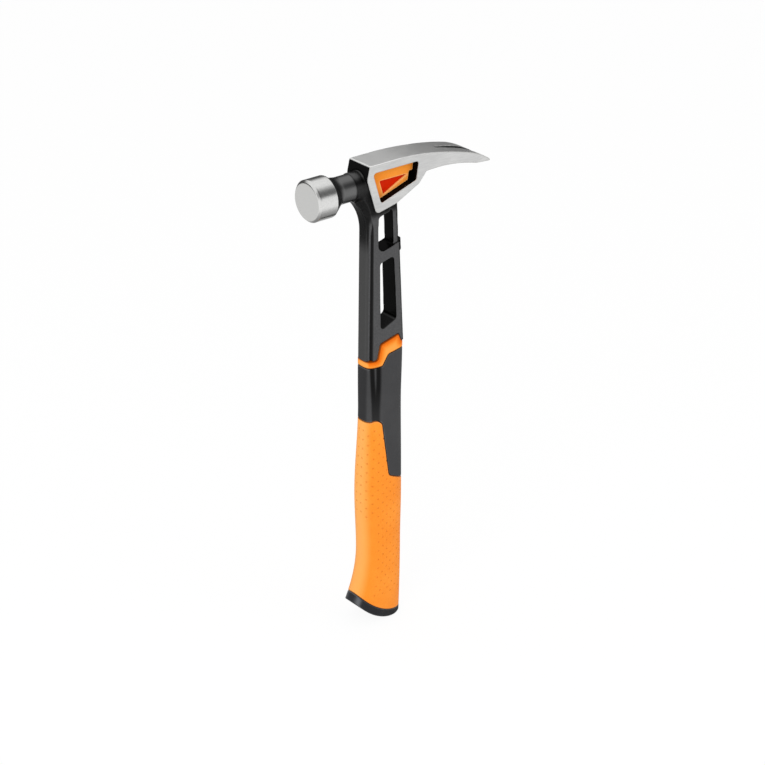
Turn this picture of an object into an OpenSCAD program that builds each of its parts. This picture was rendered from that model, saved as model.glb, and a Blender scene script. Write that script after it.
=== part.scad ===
// Finishing hammer: one steel forging for the head, shank and tang, with a moulded handle round the tang.
// Frame: origin at the centre of the striking face, +X towards the claw, +Z from the butt to the head.
// The hammer is symmetric about the plane Y = 0. Sizes are in millimetres and degrees.

/* [Overall] */
// Length from the head's flat top to the bottom of the butt
hammer_l = 343; // [320:1:370]
// Length from the striking face to the claw tips
head_l = 146.4; // [139:0.2:156]

/* [Striking end] */
// Diameter of the bell
bell_d = 28.5; // [26:0.5:31]
// Length of the bell, from the striking face to its rear edge
bell_l = 15; // [12:0.5:18]
// Bevel round the striking face
face_bevel = 1.6; // [0.8:0.1:2.4]
// Length of the taper behind the bell
taper_l = 9.5; // [6:0.5:11]
// Diameter of the round neck
neck_d = 18.4; // [16.4:0.2:20]
// Height of the neck's axis above the bell's axis
neck_rise = 1.4; // [0.6:0.1:2]
// Step in radius from the neck to its collar
collar_step = 0.5; // [0.2:0.1:1]
// Length of the collar in front of the head block
collar_l = 9; // [6:0.5:11]

/* [Head] */
// Width across the cheeks
head_w = 22.2; // [20:0.2:25]
// Distance from the striking face to the top front edge of the head block
head_front = 43.3; // [41:0.1:46]
// Height of the flat top above the bell's axis
head_top = 16.7; // [15.6:0.1:18.4]
// How far the nose of the cheek stands in front of the top edge
nose_lead = 2.2; // [1:0.1:3.5]
// How far the nose lies below the flat top
nose_drop = 9.3; // [8:0.1:11]
// How far the chin of the cheek lies behind the top edge
chin_back = 5.4; // [4:0.1:7]
// How far the cheek hangs below the bell's axis
cheek_drop = 17.4; // [16:0.1:18.6]
// Length of the flat jaw behind the chin
jaw_l = 16.8; // [14:0.2:20]
// Length of the cheek from its top front edge to its rear corner
cheek_l = 41.4; // [38:0.2:44]
// How far the cheek's rear corner hangs below the bell's axis
nape_drop = 4.6; // [3.6:0.1:6]

/* [Claw] */
// Radius of the claw's top curve
claw_r = 240; // [210:1:260]
// Distance from the striking face to the start of the claw's curve
claw_start = 62.5; // [58:0.5:68]
// Length of the more curved end of the claw
claw_end_l = 22; // [18:0.5:25]
// Radius of the top curve along that end
claw_end_r = 66; // [55:1:85]
// Radius of the claw's underside
claw_under_r = 104; // [85:1:130]
// Distance from the cheek's rear corner back to the claw's root
claw_root_back = 6.3; // [5:0.1:8]
// Thickness of the claw at its root
claw_root_t = 14; // [12:0.1:15]
// Thickness of the claw where its tip bevel starts
claw_bevel_t = 6.9; // [5.8:0.1:7.8]
// Length of the tip bevel
claw_bevel_l = 15; // [12:0.5:17]
// Thickness left at the tips
claw_tip_t = 0.8; // [0.5:0.1:1.4]
// Width across the claw tips
claw_w = 23.4; // [21.6:0.2:25.4]
// Width across the claw where it flares widest
claw_flare_w = 28.2; // [26:0.2:30]
// Distance from the tips to the widest place of the flare
claw_flare_back = 14.5; // [11:0.5:18]
// Length of the nail slot
slot_l = 38.5; // [32:0.5:44]
// Width of the nail slot at the tips
slot_w = 9.5; // [8:0.25:11]
// Width of the nail slot at its root
slot_root_w = 1.8; // [1.2:0.1:3]
// Depth of the bevel along the slot's lower edges
slot_bevel = 1.2; // [0.6:0.1:1.8]

/* [Cheek pocket and insert] */
// Width of the cheek's rim above the pocket
rim_top = 5.4; // [4:0.1:7]
// Width of the cheek's rim in front of the pocket
rim_front = 5.6; // [4:0.1:7]
// Length of the pocket along its top edge
pocket_l = 38.5; // [34:0.5:40]
// Height of the pocket at its front
pocket_h = 22.2; // [20:0.2:23]
// Height of the pocket at its rear
pocket_rear_h = 12.8; // [10:0.2:14]
// Thickness of the steel web between the two pockets
web_t = 4.4; // [3:0.2:6]
// How far the insert's face lies below the cheek
insert_sunk = 5.6; // [4:0.1:6.5]
// How far the insert's lower rear corner is cut back from the pocket's end
insert_cut = 3; // [2:0.1:5]
// Height of the insert's upper bar, which runs to the pocket's end
insert_bar_h = 7.4; // [6:0.1:9]
// Width of the insert's lip in front of the triangular recess
recess_lip = 7; // [5:0.2:9]
// Width of the insert's lip below the recess
recess_rise = 3.3; // [2.5:0.1:6]
// Depth of the triangular recess in the insert's face
recess_d = 1.8; // [0.8:0.1:2.4]

/* [Shank] */
// Distance from the bell's axis down to the front edge of the band
shank_l = 124.6; // [112:0.2:136]
// Distance from the striking face to the shank's front edge at the throat
shank_front = 45.5; // [44:0.1:47]
// How far the shank's front edge comes forward between the throat and the band
shank_lean = 1.5; // [0:0.1:3]
// Depth of the shank below the head, front to back
shank_depth_top = 26; // [24:0.2:29]
// Depth of the shank at the band, front to back
shank_depth_low = 31; // [29.6:0.2:33]
// Thickness of the shank below the head
shank_w_top = 12.6; // [11:0.2:14]
// Thickness of the shank at the band
shank_w_low = 15; // [13.6:0.2:17]
// Radius of the throat under the neck
throat_r = 37; // [30:0.5:44]
// Distance from the bell's axis down to the end of the throat's curve
throat_drop = 32; // [28:0.5:36]
// Width of the flat on the shank's front edge
front_flat = 7.4; // [6:0.2:8.4]
// Chamfer on each side of the front flat
front_chamfer = 1.5; // [1:0.1:2]
// Chamfer along the shank's rear edges
rear_chamfer = 0.9; // [0.4:0.1:1.6]
// Depth of the groove along each side, behind the front rail
groove_d = 0.9; // [0.5:0.1:1.3]
// Distance from the shank's front edge to the groove
groove_back = 3.7; // [3.4:0.1:4.6]
// Depth of the front rail beside the upper window
upper_rail_d = 8.4; // [7.6:0.1:10]
// Depth of the front rail beside the lower window
lower_rail_d = 9.6; // [8.4:0.1:11]
// Depth of the rear bar behind the upper window
upper_bar_d = 4.3; // [3.6:0.1:6]
// Depth of the rear bar behind the lower window
lower_bar_d = 5.5; // [4:0.1:7]
// Thickness of the thin rear bar beside the upper window
rear_bar_w = 9.8; // [7:0.2:10.4]
// Slope of the window ends
window_slant = 14; // [8:0.5:18]
// Distance from the bell's axis down to the upper window
upper_window_drop = 21.9; // [21:0.1:24]
// Height of the upper window
upper_window_h = 26; // [22:0.5:30]
// Height of the bridge between the windows
bridge_h = 7.7; // [6:0.1:10]
// Height of the lower window's foot above the band's front edge
lower_window_foot = 20.5; // [19.5:0.5:25]
// Corner radius of the windows
window_r = 2.4; // [1.5:0.1:3]
// How far the nub behind the bridge stands out
nub_out = 2; // [0.8:0.1:2.4]
// Thickness of the nub
nub_w = 9.2; // [7:0.2:11]
// Height of the nub
nub_h = 10; // [8:0.5:12]

/* [Tang and sleeve] */
// Depth of the tang at the band, front to back
tang_depth = 19; // [16:0.5:21]
// Depth of the tang at its foot
tang_foot_depth = 14; // [10:0.5:16]
// Thickness of the tang
tang_w = 7; // [5:0.2:7.6]
// Height of the tang's foot above the butt
tang_foot = 40; // [34:0.5:60]
// Diameter of the holes that lock the sleeve to the tang
lock_d = 6; // [4:0.2:8]
// Wall of the sleeve round the tang
sleeve_wall = 1.8; // [1.2:0.1:2.2]
// Height of the band on the front of the handle
band_h = 5.4; // [3:0.1:7]
// Distance from the shank's front edge to the top of the band's step
band_step_back = 10.5; // [9:0.1:13]
// How far the band steps up along the sides
band_step = 11; // [9:0.1:14]

/* [Handle] */
// Depth of the handle at the band, front to back
handle_depth = 32; // [31:0.2:35]
// Height of the palm swell above the butt
palm_up = 97; // [88:0.5:106]
// Height of the waist above the butt
waist_up = 56; // [48:0.5:64]
// Height of the heel above the butt
heel_up = 14; // [10:0.5:18]
// Distance from the band down to the shoulder where the handle starts to swell
shoulder_drop = 36; // [28:0.5:44]
// Thickness of the handle at the band
band_w = 15.8; // [15.2:0.2:18]
// Thickness of the handle at the shoulder
shoulder_w = 18.8; // [18:0.2:22]
// Thickness of the handle at the palm swell
palm_w = 24.4; // [22:0.2:28]
// Thickness of the handle at the waist
waist_w = 23.6; // [21:0.2:27]
// Thickness of the handle at the heel
heel_w = 25.6; // [23:0.2:29]
// How far the palm swell comes forward of the band
palm_swell = 3.3; // [2:0.1:5]
// How far the waist comes forward of the band
waist_swell = 2.2; // [1:0.1:4]
// How far the heel comes forward of the band
heel_swell = 13; // [10:0.2:15]
// How far the handle's back draws in from the band to the heel
back_draw = 2; // [1:0.1:4]
// Depth of the two flutes on each side of the casing
flute_d = 1.2; // [0.6:0.1:1.6]

/* [Grip and butt cap] */
// Wall of the soft grip
grip_wall = 2.4; // [1.8:0.1:2.8]
// Distance from the band down to the grip's top edge on the front
grip_drop = 45.5; // [40:0.5:52]
// Distance from the handle's front edge to the side tongue
tongue_back = 10.5; // [9:0.1:13]
// Length of the casing's side tongue below the grip's top edge
tongue_l = 42.5; // [36:0.5:48]
// Radius of the butt's bottom curve, seen from the side
butt_r = 45; // [42:0.5:52]
// Radius of the joint line between the grip and the cap
cap_line_r = 53; // [50:0.5:62]
// Height of the cap at its rear
cap_rear_h = 3.6; // [2.6:0.1:5]
// How far the lowest place of the butt lies behind the handle's middle
butt_back = 8.3; // [5:0.1:11]
// How far the lowest place of the joint line lies behind the handle's middle
cap_line_back = 15.3; // [12:0.1:17]
// Height of the cap's spigot
spigot_h = 12; // [8:0.5:16]

/* [Clearances] */
// Gap round pieces that are moulded or pressed on to another
fit_gap = 0.1; // [0.05:0.05:0.2]
// Width of the open seams between neighbouring skins
seam_gap = 0.5; // [0.2:0.1:0.8]

/* [Hidden] */

past = 1;           // how far a cut runs past the face that it opens
bite = 0.4;         // how far one form starts inside the form that it grows from
far = 60;           // how far a region of the side view runs past the hammer
arc_steps = 6;      // chords in a rounded corner
curve_steps = 10;   // chords in a long curve
ring_sides = 36;    // sides of a handle section
ring_gap = 6;       // distance between handle sections

bell_r = bell_d / 2;
neck_r = neck_d / 2;
collar_r = neck_r + collar_step;
cheek_y = head_w / 2;
z_band = -shank_l;
z_butt = head_top - hammer_l;

// Main lines of the shank in the side view
front_low = shank_front - shank_lean;
rear_top = shank_front + shank_depth_top;
shank_rear = front_low + shank_depth_low;
rear_low = front_low + handle_depth;
handle_x = (front_low + rear_low) / 2;
taper_h = shank_l - throat_drop;
upper_front = shank_front + upper_rail_d;
lower_front = shank_front + lower_rail_d;
upper_low = -upper_window_drop - upper_window_h;
lower_top = upper_low - bridge_h;
lower_low = z_band + lower_window_foot;

// Helpers for outlines, which run counter-clockwise as [x, z, corner radius]
function unit(v) = v / norm(v);
function flat(p) = [p.x, p.y];
function left_of(a, b) = unit([a.y - b.y, b.x - a.x]);
function along(a, b, t) = a + (b - a) * t;
function ease(t) = t * t * (3 - 2 * t);
function reversed(path) = [for (k = [len(path) - 1:-1:0]) path[k]];
function inner(path) = [for (k = [1:len(path) - 2]) path[k]];

// The arc that rounds corner b between its neighbours a and c
function corner_arc(a, b, c) =
    b[2] == 0 ? [flat(b)] :
    let (
        u = unit(flat(a) - flat(b)),
        v = unit(flat(c) - flat(b)),
        half = acos(u * v) / 2,
        centre = flat(b) + unit(u + v) * b[2] / sin(half),
        from = flat(b) + u * b[2] / tan(half) - centre,
        start = atan2(from.y, from.x),
        sweep = (u.y * v.x > u.x * v.y ? 1 : -1) * (180 - 2 * half)
    )
    [for (k = [0:arc_steps])
        let (t = start + sweep * k / arc_steps)
        centre + b[2] * [cos(t), sin(t)]];

function rounded(path) =
    let (n = len(path))
    [for (i = [0:n - 1]) each corner_arc(path[(i + n - 1) % n], path[i], path[(i + 1) % n])];

// A closed outline with every edge moved inwards by g
function inset(path, g) =
    let (n = len(path))
    [for (i = [0:n - 1])
        let (
            n1 = left_of(path[(i + n - 1) % n], path[i]),
            n2 = left_of(path[i], path[(i + 1) % n]),
            shift = (n1 + n2) * g / (1 + n1 * n2)
        )
        [path[i].x + shift.x, path[i].y + shift.y, path[i][2]]];

// An arc from p to q whose centre lies on the left
function arc_between(p, q, r) =
    let (
        chord = flat(q) - flat(p),
        half = asin(norm(chord) / 2 / r),
        centre = (flat(p) + flat(q)) / 2 + left_of(p, q) * r * cos(half),
        from = flat(p) - centre,
        start = atan2(from.y, from.x)
    )
    [for (k = [0:curve_steps])
        let (t = start + 2 * half * k / curve_steps)
        [centre.x + r * cos(t), centre.y + r * sin(t), 0]];

// Solids from side-view outlines, between two values of Y
module slab(path, y_low, y_high) {
    rotate([90, 0, 0]) translate([0, 0, -y_high]) linear_extrude(y_high - y_low) polygon(rounded(path));
}
module plate(path, width) {
    slab(path, -width / 2, width / 2);
}
module both_sides() {
    children();
    mirror([0, 1, 0]) children();
}

// A straight prism from p to q: in its section, x points down and y to the left of the run
module prism(p, q, section) {
    run = q - p;
    translate(p)
        rotate([0, 90 - asin(run.z / norm(run)), atan2(run.y, run.x)])
            linear_extrude(norm(run)) polygon(section);
}

// Corners of the cheek in the side view
jaw_slope = 12;
brow = [head_front, head_top, 1.2];
nose = [head_front - nose_lead, head_top - nose_drop, 6];
chin = [head_front + chin_back, -cheek_drop, 3.2];
jaw = [chin.x + jaw_l, chin.y + jaw_l * tan(jaw_slope), 10];
nape = [head_front + cheek_l, -nape_drop, 3];
claw_root = [nape.x + claw_root_back, head_top - claw_root_t, 2];

// The claw's top: a long arc from the flat top, then a tighter one to the tips
claw_bend_x = head_l - claw_end_l;
bend_angle = asin((claw_bend_x - claw_start) / claw_r);
bend_drop = claw_r * (1 - cos(bend_angle));
function end_angle(x) = asin(sin(bend_angle) + (x - claw_bend_x) / claw_end_r);
function claw_top(x) = head_top - (
    x < claw_bend_x ? claw_r - sqrt(pow(claw_r, 2) - pow(x - claw_start, 2))
    : bend_drop + claw_end_r * (cos(bend_angle) - cos(end_angle(x))));

// The head's side outline
tip_low = [head_l, claw_top(head_l) - claw_tip_t, 0];
bevel_x = head_l - claw_bevel_l;
bevel_start = [bevel_x, claw_top(bevel_x) - claw_bevel_t, 0];
claw_under = arc_between(bevel_start, [claw_root.x + claw_root[2], claw_root.y, 0], claw_under_r);
claw_back = [for (k = [0:2 * curve_steps])
    let (x = along(head_l, claw_start, k / curve_steps / 2))
    [x, claw_top(x), 0]];
head_path = concat([nose, chin, jaw, nape, claw_root], reversed(claw_under), [tip_low], claw_back, [brow]);

// Plan of the head: straight cheeks, then the claw flares and draws in again at its tips
flare_r = 40;
tip_r = 2;
half_plan = [[head_l, claw_w / 2, tip_r], [head_l - claw_flare_back, claw_flare_w / 2, flare_r],
             [claw_root.x, cheek_y, 0], [nose.x - past, cheek_y, 0]];
head_plan = concat([for (p = reversed(half_plan)) [p.x, -p.y, p[2]]], half_plan);

module head_blank() {
    intersection() {
        plate(head_path, claw_flare_w + head_w);
        translate([0, 0, -far]) linear_extrude(2 * far) polygon(rounded(head_plan));
    }
}

module nail_slot() {
    root_x = head_l - slot_l;
    mouth_x = head_l + past;
    mouth_half = along(slot_root_w, slot_w, (slot_l + past) / slot_l) / 2;
    translate([0, 0, -far]) linear_extrude(2 * far) {
        polygon([[root_x, -slot_root_w / 2], [mouth_x, -mouth_half], [mouth_x, mouth_half],
                 [root_x, slot_root_w / 2]]);
        translate([root_x, 0]) circle(d = slot_root_w, $fn = 32);
    }
    for (side = [-1, 1])
        prism([root_x, side * slot_root_w / 2, claw_root.y],
              [mouth_x, side * mouth_half, tip_low.y - past],
              [[-slot_bevel, 0], [far / 4, -far / 4], [far / 4, far / 4]]);
}

// Bell, taper, neck and collar: the neck's axis lies above the bell's
module striking_end() {
    rear_edge = face_bevel / 2;
    taper_end = bell_l + taper_l;
    collar_x = head_front - collar_l;
    shoulder_r = bell_r - rear_edge - neck_rise - bite;
    rotate([0, 90, 0]) rotate_extrude($fn = 96)
        polygon([[0, 0], [bell_r - face_bevel, 0], [bell_r, face_bevel], [bell_r, bell_l - rear_edge],
                 [bell_r - rear_edge, bell_l], [neck_r - neck_rise - bite, taper_end], [0, taper_end]]);
    translate([0, 0, neck_rise]) rotate([0, 90, 0]) rotate_extrude($fn = 96)
        polygon([[0, bell_l - past], [shoulder_r, bell_l - past], [shoulder_r, bell_l],
                 [neck_r, taper_end], [neck_r, collar_x],
                 [collar_r, collar_x + collar_step], [collar_r, head_front + past],
                 [0, head_front + past]]);
}

// The cheek pocket: its front edge runs along the cheek's own front edge
pocket_r = 2;
pocket_rear_lean = 2;
cheek_run = unit(flat(chin) - flat(nose));
pocket_top = head_top - rim_top;
pocket_chin = pocket_top - pocket_h;
pocket_heel = pocket_top - pocket_rear_h;
function pocket_front(z) = nose.x - rim_front / cheek_run.y + (z - nose.y) * cheek_run.x / cheek_run.y;
pocket_rear = pocket_front(pocket_top) + pocket_l;
pocket_path = [[pocket_front(pocket_chin), pocket_chin, pocket_r],
               [pocket_rear - pocket_rear_lean, pocket_heel, pocket_r],
               [pocket_rear, pocket_top, pocket_r],
               [pocket_front(pocket_top), pocket_top, pocket_r]];

// Shank: its rear edge, its half-thickness and its two windows at a given height
function down(z) = (-throat_drop - z) / taper_h;
function rear_x(z) = along(rear_top, shank_rear, down(z));
function shank_half(z) = along(shank_w_top, shank_w_low, down(z)) / 2;
function slanted(x, z) = z + (x - lower_front) * tan(window_slant);
function window_path(x_front, bar_d, z_high, z_low) =
    let (
        low_back = rear_x(z_low) - bar_d,
        high_back = rear_x(z_high) - bar_d
    )
    [[x_front, slanted(x_front, z_low), window_r], [low_back, slanted(low_back, z_low), window_r],
     [high_back, slanted(high_back, z_high), window_r], [x_front, slanted(x_front, z_high), window_r]];

// Upper and lower edges of the S-shaped band, from the front to the rear
step_run = 2.8;
crest_l = 5.7;
crest_run = 2.8;
crest_rise = 3.8;
crest_fall = 6;
low_run = 5.2;
low_step = 7.4;
low_rise = 1.2;
step_x = front_low + band_step_back;
crest_x = rear_low - crest_l;
z_crest = z_band + band_step + crest_rise;
band_top_edge = [[front_low - far, z_band, 0],
                 [step_x - step_run, z_band, 2],
                 [step_x, z_band + band_step, 2.5],
                 [crest_x, z_crest, 1.5],
                 [crest_x + crest_run, z_crest - crest_fall, 1.2],
                 [rear_low + far, z_crest - crest_fall, 0]];
low_step_x = step_x + step_run / 2;
z_band_low = z_band - band_h;
z_low_crest = z_band_low + low_step + low_rise;
band_low_edge = [[front_low - far, z_band_low, 0],
                 [low_step_x, z_band_low, 2],
                 [low_step_x + low_run, z_band_low + low_step, 4],
                 [crest_x, z_low_crest, 3],
                 [rear_low + far, z_low_crest, 0]];

// Side outline of the shank: the throat's curve, the front edge, the band's upper edge and the rear edge
throat_top = neck_rise - neck_r + bite;
throat_angle = asin((throat_drop + throat_top) / throat_r);
throat_x = shank_front - throat_r;
throat_curve = [for (k = [0:curve_steps])
    let (t = throat_angle * (1 - k / curve_steps))
    [throat_x + throat_r * cos(t), throat_r * sin(t) - throat_drop, 0]];
z_band_rear = z_crest - crest_fall;
shank_top = jaw.y + past;
shank_path = concat(throat_curve, [[front_low, z_band, 0]], inner(band_top_edge),
                    [[rear_x(z_band_rear), z_band_rear, 0], [rear_x(shank_top), shank_top, 0],
                     [upper_front, neck_rise, 0], [throat_curve[0].x, neck_rise, 0]]);

// Front view of the shank: wide under the neck, waisted below the head, thicker towards the band
half_front = [[neck_r - past, neck_rise + past], [neck_r - past, throat_top + past],
              [shank_half(-throat_drop), -throat_drop], [shank_half(z_band - past), z_band - past]];
front_view = concat(half_front, [for (p = reversed(half_front)) [-p.x, p.y]]);

// Sections cut off the shank's front corners, as [distance behind the edge, distance from the middle]
groove_rise = 4;
nose_half = front_flat / 2 + front_chamfer;
chamfer_start = [-past, front_flat / 2 - past];
chamfer_section = [chamfer_start, [cheek_y - front_flat / 2, cheek_y], [-past, cheek_y]];
groove_section = [chamfer_start, [front_chamfer, nose_half],
                  [groove_back - groove_d, nose_half], [groove_back, nose_half - groove_d],
                  [groove_back + (cheek_y - nose_half + groove_d) / groove_rise, cheek_y], [-past, cheek_y]];

// The section cut off its rear corners, measured from the corner itself
rear_cut = rear_chamfer + past;
rear_section = [[past, -rear_cut], [past, past], [-rear_cut, past]];

// A cut of the given section down an edge from [x, y], which leans in the side view and spreads in front
module edge_cut(x, y, lean, spread, section) {
    run = taper_h / cos(lean) / cos(spread) + past;
    both_sides() translate([x, y, -throat_drop]) rotate([spread, lean, 0])
        translate([0, 0, -run]) linear_extrude(run + past) polygon(section);
}

// The chamfers carried up round the throat
module throat_cut() {
    both_sides() translate([throat_x, 0, -throat_drop]) rotate([90, 0, 0]) mirror([0, 0, 1])
        rotate_extrude($fn = 96)
            polygon([for (p = chamfer_section) [throat_r + p.x, p.y]]);
}

// The nub behind the bridge
nub_r = 1.4;
nub_top = slanted(rear_x(upper_low), upper_low) + past;
nub_low = nub_top - nub_h;
nub_path = [[rear_x(nub_low) - upper_bar_d, nub_low, 0], [rear_x(nub_low), nub_low, 0],
            [rear_x(nub_low) + nub_out, nub_low + nub_out, nub_r],
            [rear_x(nub_top) + nub_out, nub_top - past, nub_r],
            [rear_x(nub_top), nub_top, 0], [rear_x(nub_top) - upper_bar_d, nub_top - nub_h / 2, 0]];

// The space beside the thin rear bar, above the bridge
thin_x = (upper_front + rear_top) / 2;
thin_end = rear_low + far;
thin_path = [[thin_x, slanted(thin_x, upper_low), 0], [thin_end, slanted(thin_end, upper_low), 0],
             [thin_end, head_top, 0], [thin_x, head_top, 0]];

module shank() {
    difference() {
        intersection() {
            plate(shank_path, head_w);
            rotate([90, 0, 90]) linear_extrude(head_l) polygon(front_view);
        }
        both_sides() slab(thin_path, rear_bar_w / 2, head_w);
        throat_cut();
        edge_cut(shank_front, 0, atan(shank_lean / taper_h), 0, groove_section);
        edge_cut(rear_top, shank_w_top / 2, -atan((shank_rear - rear_top) / taper_h),
                 atan((shank_w_low - shank_w_top) / 2 / taper_h), rear_section);
    }
    plate(nub_path, nub_w);
}

// Tang: a flat bar down the middle of the handle, with holes that lock the sleeve
tang_bite = 4;
tang_top = z_band + band_step + tang_bite;
tang_low = z_butt + tang_foot;
tang_r = 2;
lock_count = 3;
lock_pitch = (z_band_low - tang_low) / (lock_count + 0.5);
tang_path = [[handle_x - tang_foot_depth / 2, tang_low, tang_r],
             [handle_x + tang_foot_depth / 2, tang_low, tang_r],
             [handle_x + tang_depth / 2, tang_top, 0], [handle_x - tang_depth / 2, tang_top, 0]];

// The tang, or the space for it with a clearance all round
module tang(clearance) {
    difference() {
        plate(inset(tang_path, -clearance), tang_w + 2 * clearance);
        for (k = [0:lock_count - 1])
            translate([handle_x, 0, tang_low + lock_pitch * (k + 0.75)]) rotate([90, 0, 0])
                cylinder(d = lock_d - 2 * clearance, h = 2 * tang_w, center = true, $fn = 48);
    }
}

module hammer_forging() {
    color("silver") difference() {
        union() {
            striking_end();
            head_blank();
            shank();
            tang(0);
        }
        both_sides() slab(pocket_path, web_t / 2, head_w);
        nail_slot();
        plate(window_path(upper_front, upper_bar_d, -upper_window_drop, upper_low), head_w);
        plate(window_path(lower_front, lower_bar_d, lower_top, lower_low), head_w);
    }
}

// Cheek inserts: the pocket's outline, cut back at its lower rear corner, with a triangular recess
insert_r = 0.8;
bar_end = 1;
recess_r = 0.4;
recess_tip_r = 0.15;
recess_gap = 0.7;
recess_fall = 0.3;
pocket_floor = inset(pocket_path, fit_gap);
bar_z = pocket_floor[2].y - insert_bar_h;
cut_x = pocket_floor[1].x - insert_cut;
cut_z = along(pocket_floor[0].y, pocket_floor[1].y,
              (cut_x - pocket_floor[0].x) / (pocket_floor[1].x - pocket_floor[0].x));
insert_path = [pocket_floor[0], [cut_x, cut_z, insert_r], [cut_x + bar_end, bar_z, insert_r],
               [pocket_floor[2].x - bar_end, bar_z, insert_r], pocket_floor[2], pocket_floor[3]];
recess_low = pocket_floor[0].y + recess_rise;
recess_top = bar_z - 2 * recess_gap;
recess_path = [[pocket_front(recess_low) + recess_lip, recess_low, recess_r],
               [cut_x - recess_gap, recess_top - recess_fall, recess_tip_r],
               [pocket_front(recess_top) + recess_lip, recess_top, recess_r]];
insert_face = cheek_y - insert_sunk;

module cheek_insert() {
    difference() {
        slab(insert_path, web_t / 2 + fit_gap, insert_face);
        slab(recess_path, insert_face - recess_d, insert_face + past);
    }
}

module cheek_insert_left() {
    color("darkorange") mirror([0, 1, 0]) cheek_insert();
}

module cheek_insert_right() {
    color("darkorange") cheek_insert();
}

// Handle form: rounded sections at the band, shoulder, palm, waist and heel, eased from one to the next
nose_back = 0.5;
station_z = [z_band + band_step, z_band - shoulder_drop,
             z_butt + palm_up, z_butt + waist_up, z_butt + heel_up];
station_front = [for (swell = [-nose_back, 0, palm_swell, waist_swell, heel_swell]) front_low - swell];
station_rear = [for (share = [0, 0.4, 0.35, 0.7, 1]) rear_low - back_draw * share];
station_half = [band_w, shoulder_w, palm_w, waist_w, heel_w] / 2;
station_square = [4.2, 2.9, 2.4, 2.4, 2.4];
last = len(station_z) - 1;

function span(z, i = 0) = i == last - 1 || z > station_z[i + 1] ? i : span(z, i + 1);
function at(z, v) =
    let (
        i = span(z),
        t = max(0, (z - station_z[i]) / (station_z[i + 1] - station_z[i]))
    )
    along(v[i], v[i + 1], i == last - 1 ? t * t : ease(t));
function power(v, p) = sign(v) * pow(abs(v), p);

// One section of the handle, drawn in by the given wall
function section(z, wall) =
    let (
        front = at(z, station_front) + wall,
        rear = at(z, station_rear) - wall,
        half = at(z, station_half) - wall,
        p = 2 / at(z, station_square)
    )
    [for (k = [0:ring_sides - 1])
        let (t = 360 * k / ring_sides)
        [(front + rear) / 2 + (rear - front) / 2 * power(cos(t), p), half * power(sin(t), p), z]];

module handle_form(z_low, z_high, wall) {
    rings = ceil((z_high - z_low) / ring_gap);
    n = ring_sides;
    points = [for (r = [0:rings]) each section(along(z_low, z_high, r / rings), wall)];
    sides = [for (r = [0:rings - 1], k = [0:n - 1])
        let (a = r * n + k, b = r * n + (k + 1) % n)
        each [[a, a + n, b + n], [a, b + n, b]]];
    ends = [[for (k = [0:n - 1]) k], [for (k = [n - 1:-1:0]) rings * n + k]];
    polyhedron(points, concat(sides, ends));
}

// Half-thickness of the handle at a place in the side view
function side_y(x, z) =
    let (
        front = at(z, station_front),
        rear = at(z, station_rear),
        p = at(z, station_square)
    )
    at(z, station_half) * pow(1 - pow(abs(2 * x - front - rear) / (rear - front), p), 1 / p);

// Joint lines of the handle in the side view
tongue_lean = 4.2;
tongue_slope = 26;
z_grip = z_band - grip_drop;
z_tongue = z_grip - tongue_l;
tongue_x = front_low + tongue_back;
tongue_end = tongue_x + tongue_lean;
grip_top_edge = [[front_low - far, z_grip, 0], [tongue_x, z_grip, 4.5], [tongue_end, z_tongue, 4],
                 [rear_low + far, z_tongue - (rear_low + far - tongue_end) * tan(tongue_slope), 0]];
butt_front = front_low - heel_swell - past;
butt_rear = rear_low + past;
function bowl_edge(x_low, z_low, r) = [for (k = [0:2 * curve_steps])
    let (x = along(butt_front, butt_rear, k / curve_steps / 2))
    [x, z_low + r - sqrt(r * r - pow(x - x_low, 2)), 0]];
cap_edge = bowl_edge(handle_x + cap_line_back, z_butt + cap_rear_h, cap_line_r);
butt_edge = bowl_edge(handle_x + butt_back, z_butt, butt_r);
deep_edge = [[front_low - far, z_butt - far, 0], [rear_low + far, z_butt - far, 0]];
form_low = z_butt - past;
form_top = z_crest + past;

// The region between a lower and an upper joint line, drawn in by half a seam
function between(low_edge, top_edge) = inset(concat(low_edge, reversed(top_edge)), seam_gap / 2);

// Sleeve: a close cover on the tang, locked through its holes, with the S-shaped band as its rim
module tang_cover(wall) {
    plate(inset(tang_path, -wall), tang_w + 2 * wall);
}

module insulation_sleeve() {
    color("orange") difference() {
        union() {
            intersection() {
                handle_form(z_band_low - ring_gap, form_top, 0);
                plate(between(band_low_edge, band_top_edge), far);
            }
            intersection() {
                tang_cover(sleeve_wall);
                plate(between(deep_edge, band_top_edge), far);
            }
        }
        tang(fit_gap);
    }
}

// Casing: the bare upper handle with its side tongue, and the thinner core under the grip
spigot_depth = 16;
spigot_w = 9;
spigot_r = 1.5;
function spigot_path(grow) =
    [for (p = [[-1, heel_up / 2, 0], [1, heel_up / 2, 0], [1, heel_up + spigot_h + grow, spigot_r],
               [-1, heel_up + spigot_h + grow, spigot_r]])
        [handle_x + p.x * (spigot_depth / 2 + grow), z_butt + p.y, p[2]]];

// Flutes down the casing's sides, behind its nose
flute_r = 2.2;
flute_sides = 12;
flute_backs = [3.7, 8.2];

module flutes() {
    section = [for (k = [0:flute_sides - 1])
        let (t = 360 * k / flute_sides)
        flute_r * [cos(t), sin(t)]];
    both_sides() for (back = flute_backs)
        let (x = front_low + back)
        prism([x, side_y(x, z_grip - past) + flute_r - flute_d, z_grip - past],
              [x, side_y(x, z_band) + flute_r - flute_d, z_band], section);
}

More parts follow.
